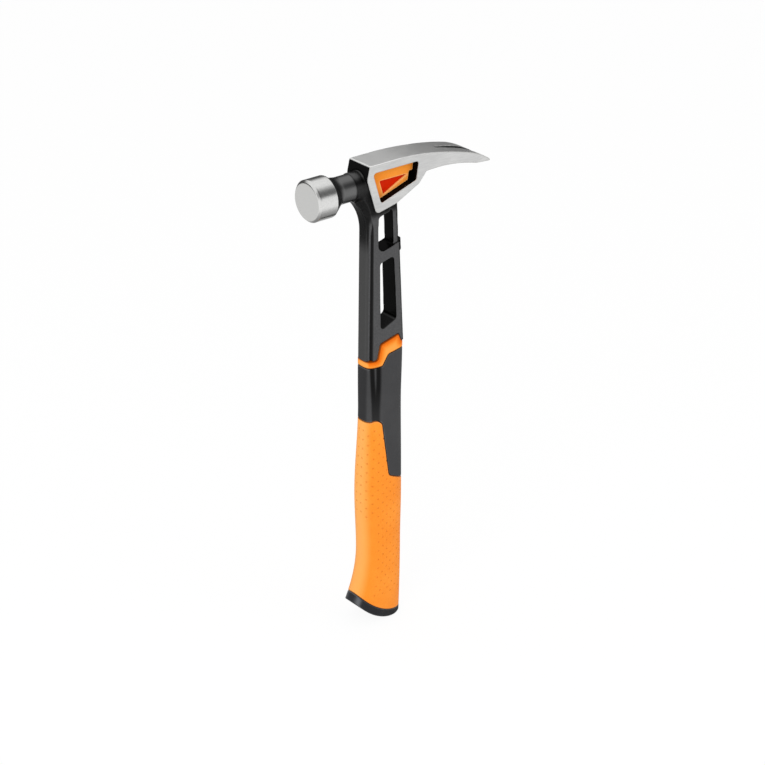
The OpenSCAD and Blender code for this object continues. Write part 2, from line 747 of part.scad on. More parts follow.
module handle_shell() {
    color("dimgray") difference() {
        union() {
            intersection() {
                handle_form(z_tongue - 3 * ring_gap, form_top, 0);
                plate(between(grip_top_edge, band_low_edge), far);
            }
            intersection() {
                handle_form(form_low, z_grip + ring_gap, grip_wall + fit_gap);
                plate(between(cap_edge, band_low_edge), far);
            }
        }
        flutes();
        tang_cover(sleeve_wall + fit_gap);
        plate(spigot_path(fit_gap), spigot_w + 2 * fit_gap);
    }
}

module grip() {
    color("orange") intersection() {
        difference() {
            handle_form(form_low, z_grip + ring_gap, 0);
            handle_form(form_low, z_grip + ring_gap, grip_wall);
        }
        plate(between(cap_edge, grip_top_edge), far);
    }
}

module butt_cap() {
    color("dimgray") {
        intersection() {
            handle_form(form_low, z_butt + waist_up, 0);
            plate(concat(butt_edge, reversed(cap_edge)), far);
        }
        plate(spigot_path(0), spigot_w);
    }
}

hammer_forging();
cheek_insert_left();
cheek_insert_right();
insulation_sleeve();
handle_shell();
grip();
butt_cap();
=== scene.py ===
"""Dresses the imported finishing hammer: rounded skins over the CAD solids, materials, studio and camera.

Each skin is a signed distance field, in millimetres and in the CAD frame, that is sampled on a grid,
meshed and thinned. Every field but an insert's is symmetric about Y = 0.
"""

import copy
import math

import bpy
import numpy as np
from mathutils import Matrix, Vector

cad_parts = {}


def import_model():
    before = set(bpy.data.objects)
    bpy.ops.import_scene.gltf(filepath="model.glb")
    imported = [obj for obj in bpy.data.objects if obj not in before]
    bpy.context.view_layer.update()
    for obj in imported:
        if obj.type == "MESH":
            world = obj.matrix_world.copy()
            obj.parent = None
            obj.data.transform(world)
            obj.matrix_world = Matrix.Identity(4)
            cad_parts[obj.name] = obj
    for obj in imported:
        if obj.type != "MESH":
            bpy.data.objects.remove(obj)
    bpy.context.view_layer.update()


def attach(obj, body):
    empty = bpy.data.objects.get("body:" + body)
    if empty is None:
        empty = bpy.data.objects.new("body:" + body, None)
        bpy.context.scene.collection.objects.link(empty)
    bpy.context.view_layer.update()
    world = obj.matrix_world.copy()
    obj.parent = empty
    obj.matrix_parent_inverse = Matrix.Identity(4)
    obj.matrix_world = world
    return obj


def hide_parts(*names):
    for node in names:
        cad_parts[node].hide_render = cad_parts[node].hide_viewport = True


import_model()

MM = 0.001

# Sizes of the part, in millimetres. A few differ a little from the CAD's, after the photograph.
HAMMER_L = 343
HEAD_L = 146.4
BELL_R = 14.2
BELL_L = 15
FACE_BEVEL = 1.6
FACE_INSET = 0.01
TAPER_END = 24.5
NECK_R = 9.2
NECK_RISE = 1.4
COLLAR_R = 9.7
COLLAR_X = 34.3
CHEEK_Y = 11.1
HEAD_FRONT = 43.3
HEAD_TOP = 16.7
BROW = (43.3, 16.7, 1.2)
NOSE = (41.1, 7.4, 6)
CHIN = (48.7, -17.4, 3.2)
JAW = (65.5, -13.83, 10)
NAPE = (84.7, -4.6, 3)
CLAW_ROOT = (91, 2.7, 2)
CLAW_R = 240
CLAW_START = 62.5
CLAW_BEND_X = 124.4
CLAW_END_R = 66
CLAW_UNDER_R = 104
CLAW_BEVEL_X = 131.4
CLAW_BEVEL_T = 6.9
CLAW_TIP_T = 0.8
CLAW_TIP_HALF = 11.7
CLAW_FLARE_X = 131.9
CLAW_FLARE_HALF = 14.1
SLOT_ROOT_X = 107.9
SLOT_ROOT_HALF = 0.9
SLOT_TIP_HALF = 4.75
SLOT_BEVEL = 1.2
POCKET_TOP = 11.3
POCKET_H = 22.2
POCKET_REAR_H = 12.8
POCKET_L = 38.5
POCKET_REAR_LEAN = 2
RIM_FRONT = 5.6
WEB_HALF = 2.2
INSERT_FACE = 5.5
INSERT_CUT = 3
INSERT_BAR_H = 7.4
RECESS_LIP = 7
RECESS_RISE = 3.3
RECESS_GAP = 0.7
RECESS_FALL = 0.3
RECESS_R = 0.4
RECESS_TIP_R = 0.15
RECESS_D = 1.8
FIT_GAP = 0.1
SHANK_FRONT = 45.5
FRONT_LOW = 44
REAR_TOP = 71.5
SHANK_REAR = 75
SHANK_HALF_TOP = 6.3
SHANK_HALF_LOW = 7.5
THROAT_R = 33.5
THROAT_DROP = 32
FRONT_FLAT = 7.4
FRONT_CHAMFER = 1.5
GROOVE_D = 0.9
GROOVE_BACK = 3.7
GROOVE_RISE = 4
RAIL_SLOPE = 0.75
UPPER_FRONT = 53.9
LOWER_FRONT = 55.1
UPPER_BAR_D = 4.3
LOWER_BAR_D = 5.5
REAR_BAR_HALF = 4.9
WINDOW_SLANT = math.tan(math.radians(14))
UPPER_TOP = -21.9
UPPER_LOW = -47.9
LOWER_TOP = -55.6
LOWER_LOW = -104.1
WINDOW_R = 2.4
UPPER_TOE_R = 4.4
LOWER_HEEL = 2.4
NUB_OUT = 2.3
NUB_R = 1.4
NUB_HALF = 4.6
NUB_H = 12
NUB_LIFT = 3
NUB_ROOT_DROP = 5
Z_BAND = -124.6
Z_BAND_LOW = -130
STEP_X = 54.5
STEP_RUN = 2.8
BAND_STEP = 11
CREST_X = 70.3
CREST_RUN = 2.8
CREST_RISE = 3.8
CREST_FALL = 6
LOW_RUN = 5.2
LOW_STEP = 7.4
LOW_RISE = 1.2
REAR_LOW = 76
HANDLE_X = 60
Z_BUTT = HEAD_TOP - HAMMER_L
Z_GRIP = -170.1
TONGUE_X = 54.5
TONGUE_END_X = 58.7
Z_TONGUE = -212.6
TONGUE_SLOPE = math.tan(math.radians(26))
FLUTE_D = 1.2
FLUTE_CLEAR = 1.5
FLUTE_RADII = (2.2, 3)
FLUTE_BACKS = (3.4, 8.7)
FLUTE_MEETS = (4.4, 6.5)
TANG_HALF_TOP = 9.5
TANG_HALF_LOW = 7
TANG_HALF_W = 3.5
TANG_LOW = -286.3
LOCK_R = 3
LOCK_PITCH = 44.66
LOCK_COUNT = 3
SLEEVE_WALL = 1.8
GRIP_WALL = 2.4
SEAM_HALF = 0.25
BUTT_R = 45
BUTT_X = 68.3
BUTT_INSET = 0.02
CAP_LINE_R = 51
CAP_LINE_X = 75.3
CAP_REAR_H = 3.6
FAR = 60

# Limit of the coat, margin of the grids and points on curves
PAINT_INSET = 0.6
MARGIN = 1.2
ARC_POINTS = 17
CURVE_POINTS = 41

# Handle sections at the band, shoulder, palm, waist and heel
STATION_Z = (-113.6, -160.6, -229.3, -270.3, -312.3)
STATION_FRONT = (44.5, 44, 40.7, 41.8, 31)
STATION_REAR = (76, 75.2, 75.3, 74.6, 74)
STATION_HALF = (7.9, 9.4, 12.2, 11.8, 12.8)
STATION_SQUARE = (4.2, 2.9, 2.4, 2.4, 2.4)


def unit(v):
    return v / np.linalg.norm(v)


def rounded(path, steps=8):
    """The points of a closed outline of (u, v, radius), with its corners rounded."""
    points = []
    for i, corner in enumerate(path):
        a, b, c = (np.array(path[k % len(path)][:2], float) for k in (i - 1, i, i + 1))
        r = corner[2]
        if r == 0:
            points.append(b)
            continue
        p, q = unit(a - b), unit(c - b)
        half = math.acos(p @ q) / 2
        centre = b + unit(p + q) * r / math.sin(half)
        start = b + p * r / math.tan(half) - centre
        turn = math.atan2(start[1], start[0])
        sweep = math.copysign(math.pi - 2 * half, p[1] * q[0] - p[0] * q[1])
        for k in range(steps + 1):
            t = turn + sweep * k / steps
            points.append(centre + r * np.array((math.cos(t), math.sin(t))))
    return np.array(points)


def outline(path, u, v):
    """Signed distance to a closed outline, negative inside, at every (u, v)."""
    points = rounded(path)
    nearest = np.full(np.broadcast(u, v).shape, 1e9)
    inside = np.zeros(nearest.shape, bool)
    for (a, b), (c, d) in zip(points, np.roll(points, -1, 0)):
        length = (c - a) ** 2 + (d - b) ** 2
        if length < 1e-12:
            continue
        t = np.clip(((u - a) * (c - a) + (v - b) * (d - b)) / length, 0, 1)
        nearest = np.minimum(nearest, (u - a - t * (c - a)) ** 2 + (v - b - t * (d - b)) ** 2)
        if b != d:
            inside ^= ((b <= v) != (d <= v)) & (u < a + (v - b) * (c - a) / (d - b))
    return np.where(inside, -1, 1).astype(np.float32) * np.sqrt(nearest).astype(np.float32)


def both(a, b, r):
    """What two fields share, with the edge between them rounded."""
    corner = np.sqrt(np.maximum(a + r, 0) ** 2 + np.maximum(b + r, 0) ** 2)
    return np.minimum(np.maximum(a, b), -r) + corner


def either(a, b, r):
    """The union of two fields, with a fillet in the corner between them."""
    corner = np.sqrt(np.maximum(r - a, 0) ** 2 + np.maximum(r - b, 0) ** 2)
    return np.maximum(np.minimum(a, b), r) - corner


def ease(value, start, end):
    """Runs smoothly from 0 at start to 1 at end."""
    t = np.clip((value - start) / (end - start), 0, 1)
    return t * t * (3 - 2 * t)


class Space:
    """A grid of points. If it is mirrored, its Y values are those of one half, from the middle out."""

    def __init__(self, low, high, step, mirrored=True):
        self.step = step
        self.mirrored = mirrored
        self.x = np.arange(low[0], high[0] + step, step, dtype=np.float32)
        self.y = np.arange(step / 2 if mirrored else low[1], high[1] + step, step, dtype=np.float32)
        self.z = np.arange(low[2], high[2] + step, step, dtype=np.float32)

    def side(self, path):
        return outline(path, self.x[:, None], self.z[None, :])[:, None, :]

    def plan(self, path):
        return outline(path, self.x[:, None], self.y[None, :])[:, :, None]

    def front(self, path):
        return outline(path, self.y[:, None], self.z[None, :])[None, :, :]

    def grid(self):
        return self.x[:, None, None], self.y[None, :, None], self.z[None, None, :]

    def first_part(self, count):
        """The same grid, with only so many of its X values."""
        part = copy.copy(self)
        part.x = self.x[:count]
        return part


CORNERS = np.array([(i, j, k) for i in (0, 1) for j in (0, 1) for k in (0, 1)])
EDGES = [(a, b) for a in range(8) for b in range(a) if np.abs(CORNERS[a] - CORNERS[b]).sum() == 1]


class Sampled:
    """A field on its whole grid, which can be read anywhere."""

    def __init__(self, space, value):
        y_low = space.y[0]
        if space.mirrored:
            value = np.concatenate((value[:, ::-1], value), 1)
            y_low = -space.y[-1]
        self.value = np.ascontiguousarray(value, np.float32)
        self.low = np.array((space.x[0], y_low, space.z[0]))
        self.step = space.step

    def at(self, points):
        place = (points - self.low) / self.step
        cell = np.clip(np.floor(place).astype(int), 0, np.array(self.value.shape) - 2)
        part = place - cell
        total = np.zeros(len(points))
        for corner in CORNERS:
            i, j, k = (cell + corner).T
            total += np.where(corner, part, 1 - part).prod(1) * self.value[i, j, k]
        return total

    def slope(self, points, reach):
        steps = np.eye(3) * reach
        return np.stack([self.at(points + s) - self.at(points - s) for s in steps], 1) / (2 * reach)

    def bulge(self, points, reach):
        """Above 0 on outer edges and below 0 in creases."""
        steps = np.eye(3) * reach
        around = sum(self.at(points + s) + self.at(points - s) for s in steps) / 6
        return (around - self.at(points)) / reach

    def surface(self):
        """Points and quads of the surface net at the zero level."""
        solid = self.value < 0
        nx, ny, nz = np.array(solid.shape) - 1
        total = sum(solid[i:i + nx, j:j + ny, k:k + nz].astype(np.uint8) for i, j, k in CORNERS)
        crossed = (total > 0) & (total < 8)
        cells = np.argwhere(crossed)
        index = np.full(crossed.shape, -1, np.int32)
        index[crossed] = np.arange(len(cells))
        corner = np.stack([self.value[tuple((cells + c).T)] for c in CORNERS], 1)
        place = np.zeros((len(cells), 3))
        count = np.zeros(len(cells))
        for a, b in EDGES:
            cut = (corner[:, a] < 0) != (corner[:, b] < 0)
            t = corner[cut, a] / (corner[cut, a] - corner[cut, b])
            place[cut] += CORNERS[a] + t[:, None] * (CORNERS[b] - CORNERS[a])
            count[cut] += 1
        points = self.low + (cells + place / count[:, None]) * self.step
        quads = []
        for axis in range(3):
            ahead = np.eye(3, dtype=int)[axis]
            u, v = np.eye(3, dtype=int)[(axis + 1) % 3], np.eye(3, dtype=int)[(axis + 2) % 3]
            start = tuple(slice(0, n - a) for n, a in zip(solid.shape, ahead))
            end = tuple(slice(a, n) for n, a in zip(solid.shape, ahead))
            edge = np.argwhere(solid[start] != solid[end])
            ring = np.stack([index[tuple((edge - c).T)] for c in (u + v, v, 0 * u, u)], 1)
            outward = solid[tuple(edge.T)]
            quads.append(np.where(outward[:, None], ring, ring[:, ::-1]))
        for _ in range(2):
            normal = self.slope(points, self.step)
            size = np.maximum((normal ** 2).sum(1, keepdims=True), 0.25)
            move = -self.at(points)[:, None] * normal / size
            points += np.clip(move, -self.step / 2, self.step / 2)
        return points, np.concatenate(quads)


def mesh_object(name, points, faces):
    mesh = bpy.data.meshes.new(name)
    mesh.from_pydata((points * MM).tolist(), [], faces.tolist())
    mesh.update()
    piece = bpy.data.objects.new(name, mesh)
    bpy.context.scene.collection.objects.link(piece)
    return piece


def thinned(piece, most):
    """Collapses flat areas until the piece has about so many triangles."""
    count = 2 * len(piece.data.polygons)
    thin = piece.modifiers.new("thin", "DECIMATE")
    thin.ratio = min(1, most / count)
    seen = piece.evaluated_get(bpy.context.evaluated_depsgraph_get())
    mesh = bpy.data.meshes.new_from_object(seen)
    piece.modifiers.remove(thin)
    piece.data = mesh
    mesh.name = piece.name


def points_of(piece):
    flat = np.empty(3 * len(piece.data.vertices))
    piece.data.vertices.foreach_get("co", flat)
    return flat.reshape(-1, 3) / MM


def note(piece, name, values):
    """Keeps one number per point, which materials read by name."""
    piece.data.attributes.new(name, "FLOAT", "POINT").data.foreach_set("value", values.astype(np.float32))


def skin(name, node, space, value, most, reach=0.8):
    """The piece that replaces a CAD node: a thinned mesh with the field's normals, its edges marked."""
    field = Sampled(space, value)
    piece = mesh_object(name, *field.surface())
    thinned(piece, most)
    points = points_of(piece)
    normals = field.slope(points, space.step)
    normals /= np.maximum(np.linalg.norm(normals, axis=1, keepdims=True), 1e-9)
    piece.data.shade_smooth()
    piece.data.normals_split_custom_set_from_vertices(normals.tolist())
    note(piece, "edge", field.bulge(points, reach))
    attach(piece, "root")
    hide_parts(node)
    return piece, points, normals


# Side outlines of the head, as (x, z, corner radius)
BEND = math.asin((CLAW_BEND_X - CLAW_START) / CLAW_R)


def claw_top(x):
    if x < CLAW_START:
        return HEAD_TOP
    if x < CLAW_BEND_X:
        return HEAD_TOP - CLAW_R + math.sqrt(CLAW_R ** 2 - (x - CLAW_START) ** 2)
    end = math.asin(math.sin(BEND) + (x - CLAW_BEND_X) / CLAW_END_R)
    return HEAD_TOP - CLAW_R * (1 - math.cos(BEND)) - CLAW_END_R * (math.cos(BEND) - math.cos(end))


def claw_under():
    """The arc of the claw's underside, from its root to its tip bevel."""
    p = np.array((CLAW_BEVEL_X, claw_top(CLAW_BEVEL_X) - CLAW_BEVEL_T))
    q = np.array((CLAW_ROOT[0] + CLAW_ROOT[2], CLAW_ROOT[1]))
    chord = q - p
    half = math.asin(np.linalg.norm(chord) / 2 / CLAW_UNDER_R)
    centre = (p + q) / 2 + unit(np.array((-chord[1], chord[0]))) * CLAW_UNDER_R * math.cos(half)
    turn = math.atan2(*(p - centre)[::-1])
    angles = turn + 2 * half * np.linspace(1, 0, ARC_POINTS)
    return [(centre[0] + CLAW_UNDER_R * math.cos(t), centre[1] + CLAW_UNDER_R * math.sin(t), 0)
            for t in angles]


TIP_LOW = (HEAD_L, claw_top(HEAD_L) - CLAW_TIP_T, 0)
CLAW_BACK = [(x, claw_top(x), 0) for x in np.linspace(HEAD_L, CLAW_START, CURVE_POINTS)]
HEAD_SIDE = [NOSE, CHIN, JAW, NAPE, CLAW_ROOT, *claw_under(), TIP_LOW, *CLAW_BACK, BROW]
HALF_PLAN = [(HEAD_L, CLAW_TIP_HALF, 2), (CLAW_FLARE_X, CLAW_FLARE_HALF, 40), (CLAW_ROOT[0], CHEEK_Y, 0),
             (NOSE[0] - 1, CHEEK_Y, 0)]
HEAD_PLAN = [(x, -y, r) for x, y, r in reversed(HALF_PLAN)] + HALF_PLAN

CHEEK_RUN = unit(np.array(CHIN[:2]) - np.array(NOSE[:2]))


def pocket_front(z):
    return NOSE[0] - RIM_FRONT / CHEEK_RUN[1] + (z - NOSE[1]) * CHEEK_RUN[0] / CHEEK_RUN[1]


POCKET_CHIN = POCKET_TOP - POCKET_H
POCKET_REAR = pocket_front(POCKET_TOP) + POCKET_L
POCKET = [(pocket_front(POCKET_CHIN), POCKET_CHIN, 2),
          (POCKET_REAR - POCKET_REAR_LEAN, POCKET_TOP - POCKET_REAR_H, 2),
          (POCKET_REAR, POCKET_TOP, 2), (pocket_front(POCKET_TOP), POCKET_TOP, 2)]


# Lines of the shank in the side view
def down(z):
    return (-THROAT_DROP - z) / (-THROAT_DROP - Z_BAND)


def rear_x(z):
    return REAR_TOP + (SHANK_REAR - REAR_TOP) * down(z)


def shank_half(z):
    return SHANK_HALF_TOP + (SHANK_HALF_LOW - SHANK_HALF_TOP) * down(z)


def slanted(x, z):
    return z + (x - LOWER_FRONT) * WINDOW_SLANT


def window(x_front, bar_d, z_high, z_low, toe_r=WINDOW_R, heel=0):
    """A slanted window: toe_r rounds its lower front corner, heel raises its lower rear one."""
    low_back, high_back = rear_x(z_low) - bar_d, rear_x(z_high) - bar_d
    return [(x_front, slanted(x_front, z_low), toe_r),
            (low_back, slanted(low_back, z_low) + heel, WINDOW_R + heel / 2),
            (high_back, slanted(high_back, z_high), WINDOW_R),
            (x_front, slanted(x_front, z_high), WINDOW_R)]


WINDOWS = (window(UPPER_FRONT, UPPER_BAR_D, UPPER_TOP, UPPER_LOW, toe_r=UPPER_TOE_R),
           window(LOWER_FRONT, LOWER_BAR_D, LOWER_TOP, LOWER_LOW, heel=LOWER_HEEL))
Z_CREST = Z_BAND + BAND_STEP + CREST_RISE
BAND_TOP = [(FRONT_LOW - FAR, Z_BAND, 0), (STEP_X - STEP_RUN, Z_BAND, 2), (STEP_X, Z_BAND + BAND_STEP, 2.5),
            (CREST_X, Z_CREST, 1.5), (CREST_X + CREST_RUN, Z_CREST - CREST_FALL, 1.2),
            (REAR_LOW + FAR, Z_CREST - CREST_FALL, 0)]
LOW_STEP_X = STEP_X + STEP_RUN / 2
Z_LOW_CREST = Z_BAND_LOW + LOW_STEP + LOW_RISE
BAND_LOW = [(FRONT_LOW - FAR, Z_BAND_LOW, 0), (LOW_STEP_X, Z_BAND_LOW, 2),
            (LOW_STEP_X + LOW_RUN, Z_BAND_LOW + LOW_STEP, 4), (CREST_X, Z_LOW_CREST, 3),
            (REAR_LOW + FAR, Z_LOW_CREST, 0)]
THROAT_X = SHANK_FRONT - THROAT_R
THROAT_TOP = NECK_RISE - NECK_R + 0.4
THROAT_ANGLES = np.linspace(math.asin((THROAT_DROP + THROAT_TOP) / THROAT_R), 0, ARC_POINTS)
THROAT = [(THROAT_X + THROAT_R * math.cos(t), THROAT_R * math.sin(t) - THROAT_DROP, 0)
          for t in THROAT_ANGLES]
SHANK_TOP = JAW[1] + 1
SHANK_SIDE = [*THROAT, (FRONT_LOW, Z_BAND, 0), *BAND_TOP[1:-1],
              (rear_x(Z_CREST - CREST_FALL), Z_CREST - CREST_FALL, 0), (rear_x(SHANK_TOP), SHANK_TOP, 0),
              (UPPER_FRONT, NECK_RISE, 0), (THROAT[0][0], NECK_RISE, 0)]
HALF_FRONT = [(NECK_R - 1, NECK_RISE + 1, 0), (NECK_R - 1, THROAT_TOP + 1, 0),
              (shank_half(-THROAT_DROP), -THROAT_DROP, 0), (shank_half(Z_BAND - 1), Z_BAND - 1, 0)]
SHANK_FRONT_VIEW = HALF_FRONT + [(-y, z, r) for y, z, r in reversed(HALF_FRONT)]
NUB_TOP = slanted(rear_x(UPPER_LOW), UPPER_LOW) + NUB_LIFT
NUB_LOW = NUB_TOP - NUB_H
NUB = [(rear_x(NUB_LOW) - UPPER_BAR_D, NUB_LOW, 0), (rear_x(NUB_LOW), NUB_LOW, 0),
       (rear_x(NUB_LOW) + NUB_OUT, NUB_LOW + NUB_OUT, NUB_R),
       (rear_x(NUB_TOP) + NUB_OUT, NUB_TOP - 1, NUB_R),
       (rear_x(NUB_TOP), NUB_TOP, 0), (rear_x(NUB_TOP) - UPPER_BAR_D, NUB_TOP - NUB_ROOT_DROP, 0)]
THIN_X = (UPPER_FRONT + REAR_TOP) / 2
THIN_END = REAR_LOW + FAR
THIN = [(THIN_X, slanted(THIN_X, UPPER_LOW), 0), (THIN_END, slanted(THIN_END, UPPER_LOW), 0),
        (THIN_END, HEAD_TOP, 0), (THIN_X, HEAD_TOP, 0)]
TANG_TOP = Z_BAND + BAND_STEP + 4
TANG = [(HANDLE_X - TANG_HALF_LOW, TANG_LOW, 2), (HANDLE_X + TANG_HALF_LOW, TANG_LOW, 2),
        (HANDLE_X + TANG_HALF_TOP, TANG_TOP, 0), (HANDLE_X - TANG_HALF_TOP, TANG_TOP, 0)]


def turned(space, profile, axis_z):
    """A turned form about a line along X: the profile is (x, radius, corner radius)."""
    whole = [*profile, *((x, -r, c) for x, r, c in reversed(profile))]
    reach = np.arange(0, FAR, space.step / 2, dtype=np.float32)
    table = outline(whole, space.x[:, None], reach[None, :])
    radius = np.sqrt(space.y[:, None] ** 2 + (space.z[None, :] - axis_z) ** 2) / (space.step / 2)
    cell = np.minimum(radius.astype(int), len(reach) - 2)
    part = np.clip(radius - cell, 0, 1)
    return table[:, cell] * (1 - part) + table[:, cell + 1] * part


def front_depth(x, z):
    """Distance behind the shank's front edge and the throat's curve."""
    lean = (FRONT_LOW - SHANK_FRONT) / (Z_BAND + THROAT_DROP)
    straight = x - SHANK_FRONT - (z + THROAT_DROP) * lean
    curved = np.hypot(x - THROAT_X, z + THROAT_DROP) - THROAT_R
    return np.where(z < -THROAT_DROP, straight, curved)


def rail_half(depth, groove):
    """Half-width that the chamfer and groove leave at a distance behind the front edge, softened."""
    ahead, behind = -3, 40
    flare_at, flare = 6, 4
    fine = np.arange(ahead, behind, 0.05)
    tip_half = FRONT_FLAT / 2 + ahead
    nose_half = FRONT_FLAT / 2 + FRONT_CHAMFER
    bed = nose_half - GROOVE_D
    plain = np.interp(fine, [ahead, FRONT_CHAMFER, flare_at, behind],
                      [tip_half, nose_half, nose_half + flare, nose_half + flare + behind - flare_at])
    cut = np.interp(fine, [ahead, FRONT_CHAMFER, GROOVE_BACK - GROOVE_D, GROOVE_BACK, behind],
                    [tip_half, nose_half, nose_half, bed, bed + GROOVE_RISE * (behind - GROOVE_BACK)])
    reach = 16
    kernel = np.exp(-np.linspace(-2, 2, 2 * reach + 1) ** 2)
    kernel /= kernel.sum()
    plain, cut = (np.convolve(np.pad(v, reach, "reflect", reflect_type="odd"), kernel, "valid")
                  for v in (plain, cut))
    return np.interp(depth, fine, plain) * (1 - groove) + np.interp(depth, fine, cut) * groove


def groove_share(z):
    """How much of the side grooves there is: all along the shank, and none at the top of the throat."""
    return ease(z, 12 - THROAT_DROP, -4 - THROAT_DROP)


def slot_half(x):
    """Half-width of the nail slot."""
    return SLOT_ROOT_HALF + (SLOT_TIP_HALF - SLOT_ROOT_HALF) * (x - SLOT_ROOT_X) / (HEAD_L - SLOT_ROOT_X)


def head_field(space):
    """The cheek block and the claw with its bevelled slot."""
    x, y, z = space.grid()
    head = both(space.side(HEAD_SIDE), space.plan(HEAD_PLAN), r=0.7)
    mouth = slot_half(x)
    from_root = np.hypot(np.minimum(x - SLOT_ROOT_X, 0), y)
    slot = np.maximum(from_root - np.maximum(mouth, SLOT_ROOT_HALF), SLOT_ROOT_X - SLOT_ROOT_HALF - x)
    fall = (TIP_LOW[1] - 1 - CLAW_ROOT[1]) / (HEAD_L + 1 - SLOT_ROOT_X)
    underside = CLAW_ROOT[1] + fall * (x - SLOT_ROOT_X)
    bevel = (np.abs(y - mouth) - (underside + SLOT_BEVEL - z)) * math.sqrt(0.5)
    bevel = np.maximum(bevel, SLOT_ROOT_X - x)
    return both(both(head, -slot, r=0.35), -bevel, r=0.3)


def shank_field(space):
    """The shank with its chamfered and grooved front, its thinner rear bar and the nub on that."""
    y = space.grid()[1]
    x, z = space.x[:, None], space.z[None, :]
    shank = both(space.side(SHANK_SIDE), space.front(SHANK_FRONT_VIEW), r=0.8)
    rail = (y - rail_half(front_depth(x, z), groove_share(z))[:, None, :]) * RAIL_SLOPE
    shank = both(shank, rail, r=0.5)
    thin = np.maximum(space.side(THIN), REAR_BAR_HALF - y)
    shank = both(shank, -thin, r=0.25)
    return either(shank, both(space.side(NUB), y - NUB_HALF, r=0.5), r=0.5)


def striker_field(space):
    """The bell, with the neck and collar behind it, whose axis is higher."""
    bell = [(FACE_INSET, 0, 0), (FACE_INSET, BELL_R - FACE_BEVEL, 0.5), (FACE_BEVEL, BELL_R, 0.5),
            (BELL_L, BELL_R, 0.6), (TAPER_END, NECK_R - NECK_RISE - 0.4, 0), (TAPER_END, 0, 0)]
    neck = [(BELL_L - 1, 0, 0), (BELL_L, BELL_R - 3.4, 0), (TAPER_END, NECK_R, 4), (COLLAR_X, NECK_R, 0.5),
            (COLLAR_X + 0.5, COLLAR_R, 0.3), (HEAD_FRONT + 4, COLLAR_R, 0), (HEAD_FRONT + 4, 0, 0)]
    return either(turned(space, bell, 0), turned(space, neck, NECK_RISE), r=0.6)


def tang_field(space):
    """The tang with its lock holes."""
    x, y, z = space.grid()
    tang = both(space.side(TANG), y - TANG_HALF_W, r=0.5)
    for k in range(LOCK_COUNT):
        hole_z = TANG_LOW + LOCK_PITCH * (k + 0.75)
        tang = np.maximum(tang, LOCK_R - np.hypot(x - HANDLE_X, z - hole_z))
    return tang


def forging():
    low = (-MARGIN, 0, TANG_LOW - MARGIN)
    high = (HEAD_L + MARGIN, CLAW_FLARE_HALF + MARGIN, HEAD_TOP + MARGIN)
    space = Space(low, high, step=0.42)
    y = space.grid()[1]
    value = either(head_field(space), shank_field(space), r=1.2)
    near = space.first_part(int((HEAD_FRONT + 8) / space.step))
    ends = len(near.x)
    value[:ends] = either(value[:ends], striker_field(near), r=1)
    value = both(value, -both(space.side(POCKET), WEB_HALF - y, r=0.5), r=0.4)
    for path in WINDOWS:
        value = both(value, -space.side(path), r=0.25)
    value = np.minimum(value, tang_field(space))
    piece, points, normals = skin("forging", "hammer_forging", space, value, most=190000)
    mark_metal(piece, points, normals)
    mark_coat(piece, points, normals)
    return piece


def mark_metal(piece, points, normals):
    """Marks the bare metal: all of it, the bell, the bell's face and the top of the head, which gets a
    painted highlight.
    """
    px, py, pz = points.T
    nx, _, nz = normals.T
    on_curve = np.hypot(px - CLAW_START, pz - HEAD_TOP + CLAW_R) - CLAW_R
    top = np.where(px < CLAW_START, pz - HEAD_TOP, on_curve) + PAINT_INSET
    cheek = np.minimum(np.abs(py) - CHEEK_Y + PAINT_INSET, px - HEAD_FRONT + 4)
    bare = np.maximum.reduce([cheek, top, px - NAPE[0] - 3, BELL_L - 0.4 - px])
    slot_wall = np.abs(py) - np.maximum(slot_half(px), SLOT_ROOT_HALF) - 0.3
    in_slot = np.where(px > SLOT_ROOT_X - 1.5, slot_wall, FAR)
    note(piece, "bare", np.clip(np.minimum(bare, in_slot), -4, 4))
    note(piece, "bell", np.clip(BELL_L + 2 - px, -4, 4))
    note(piece, "face", ease(-nx, 0.9, 0.98) * (px < 2))
    # Upward faces of the head's top, fading towards the claw, get a painted highlight.
    note(piece, "top_highlight", ease(nz, 0.75, 0.95) * np.interp(px, (60, 115), (1, 0)) * (px > HEAD_FRONT))


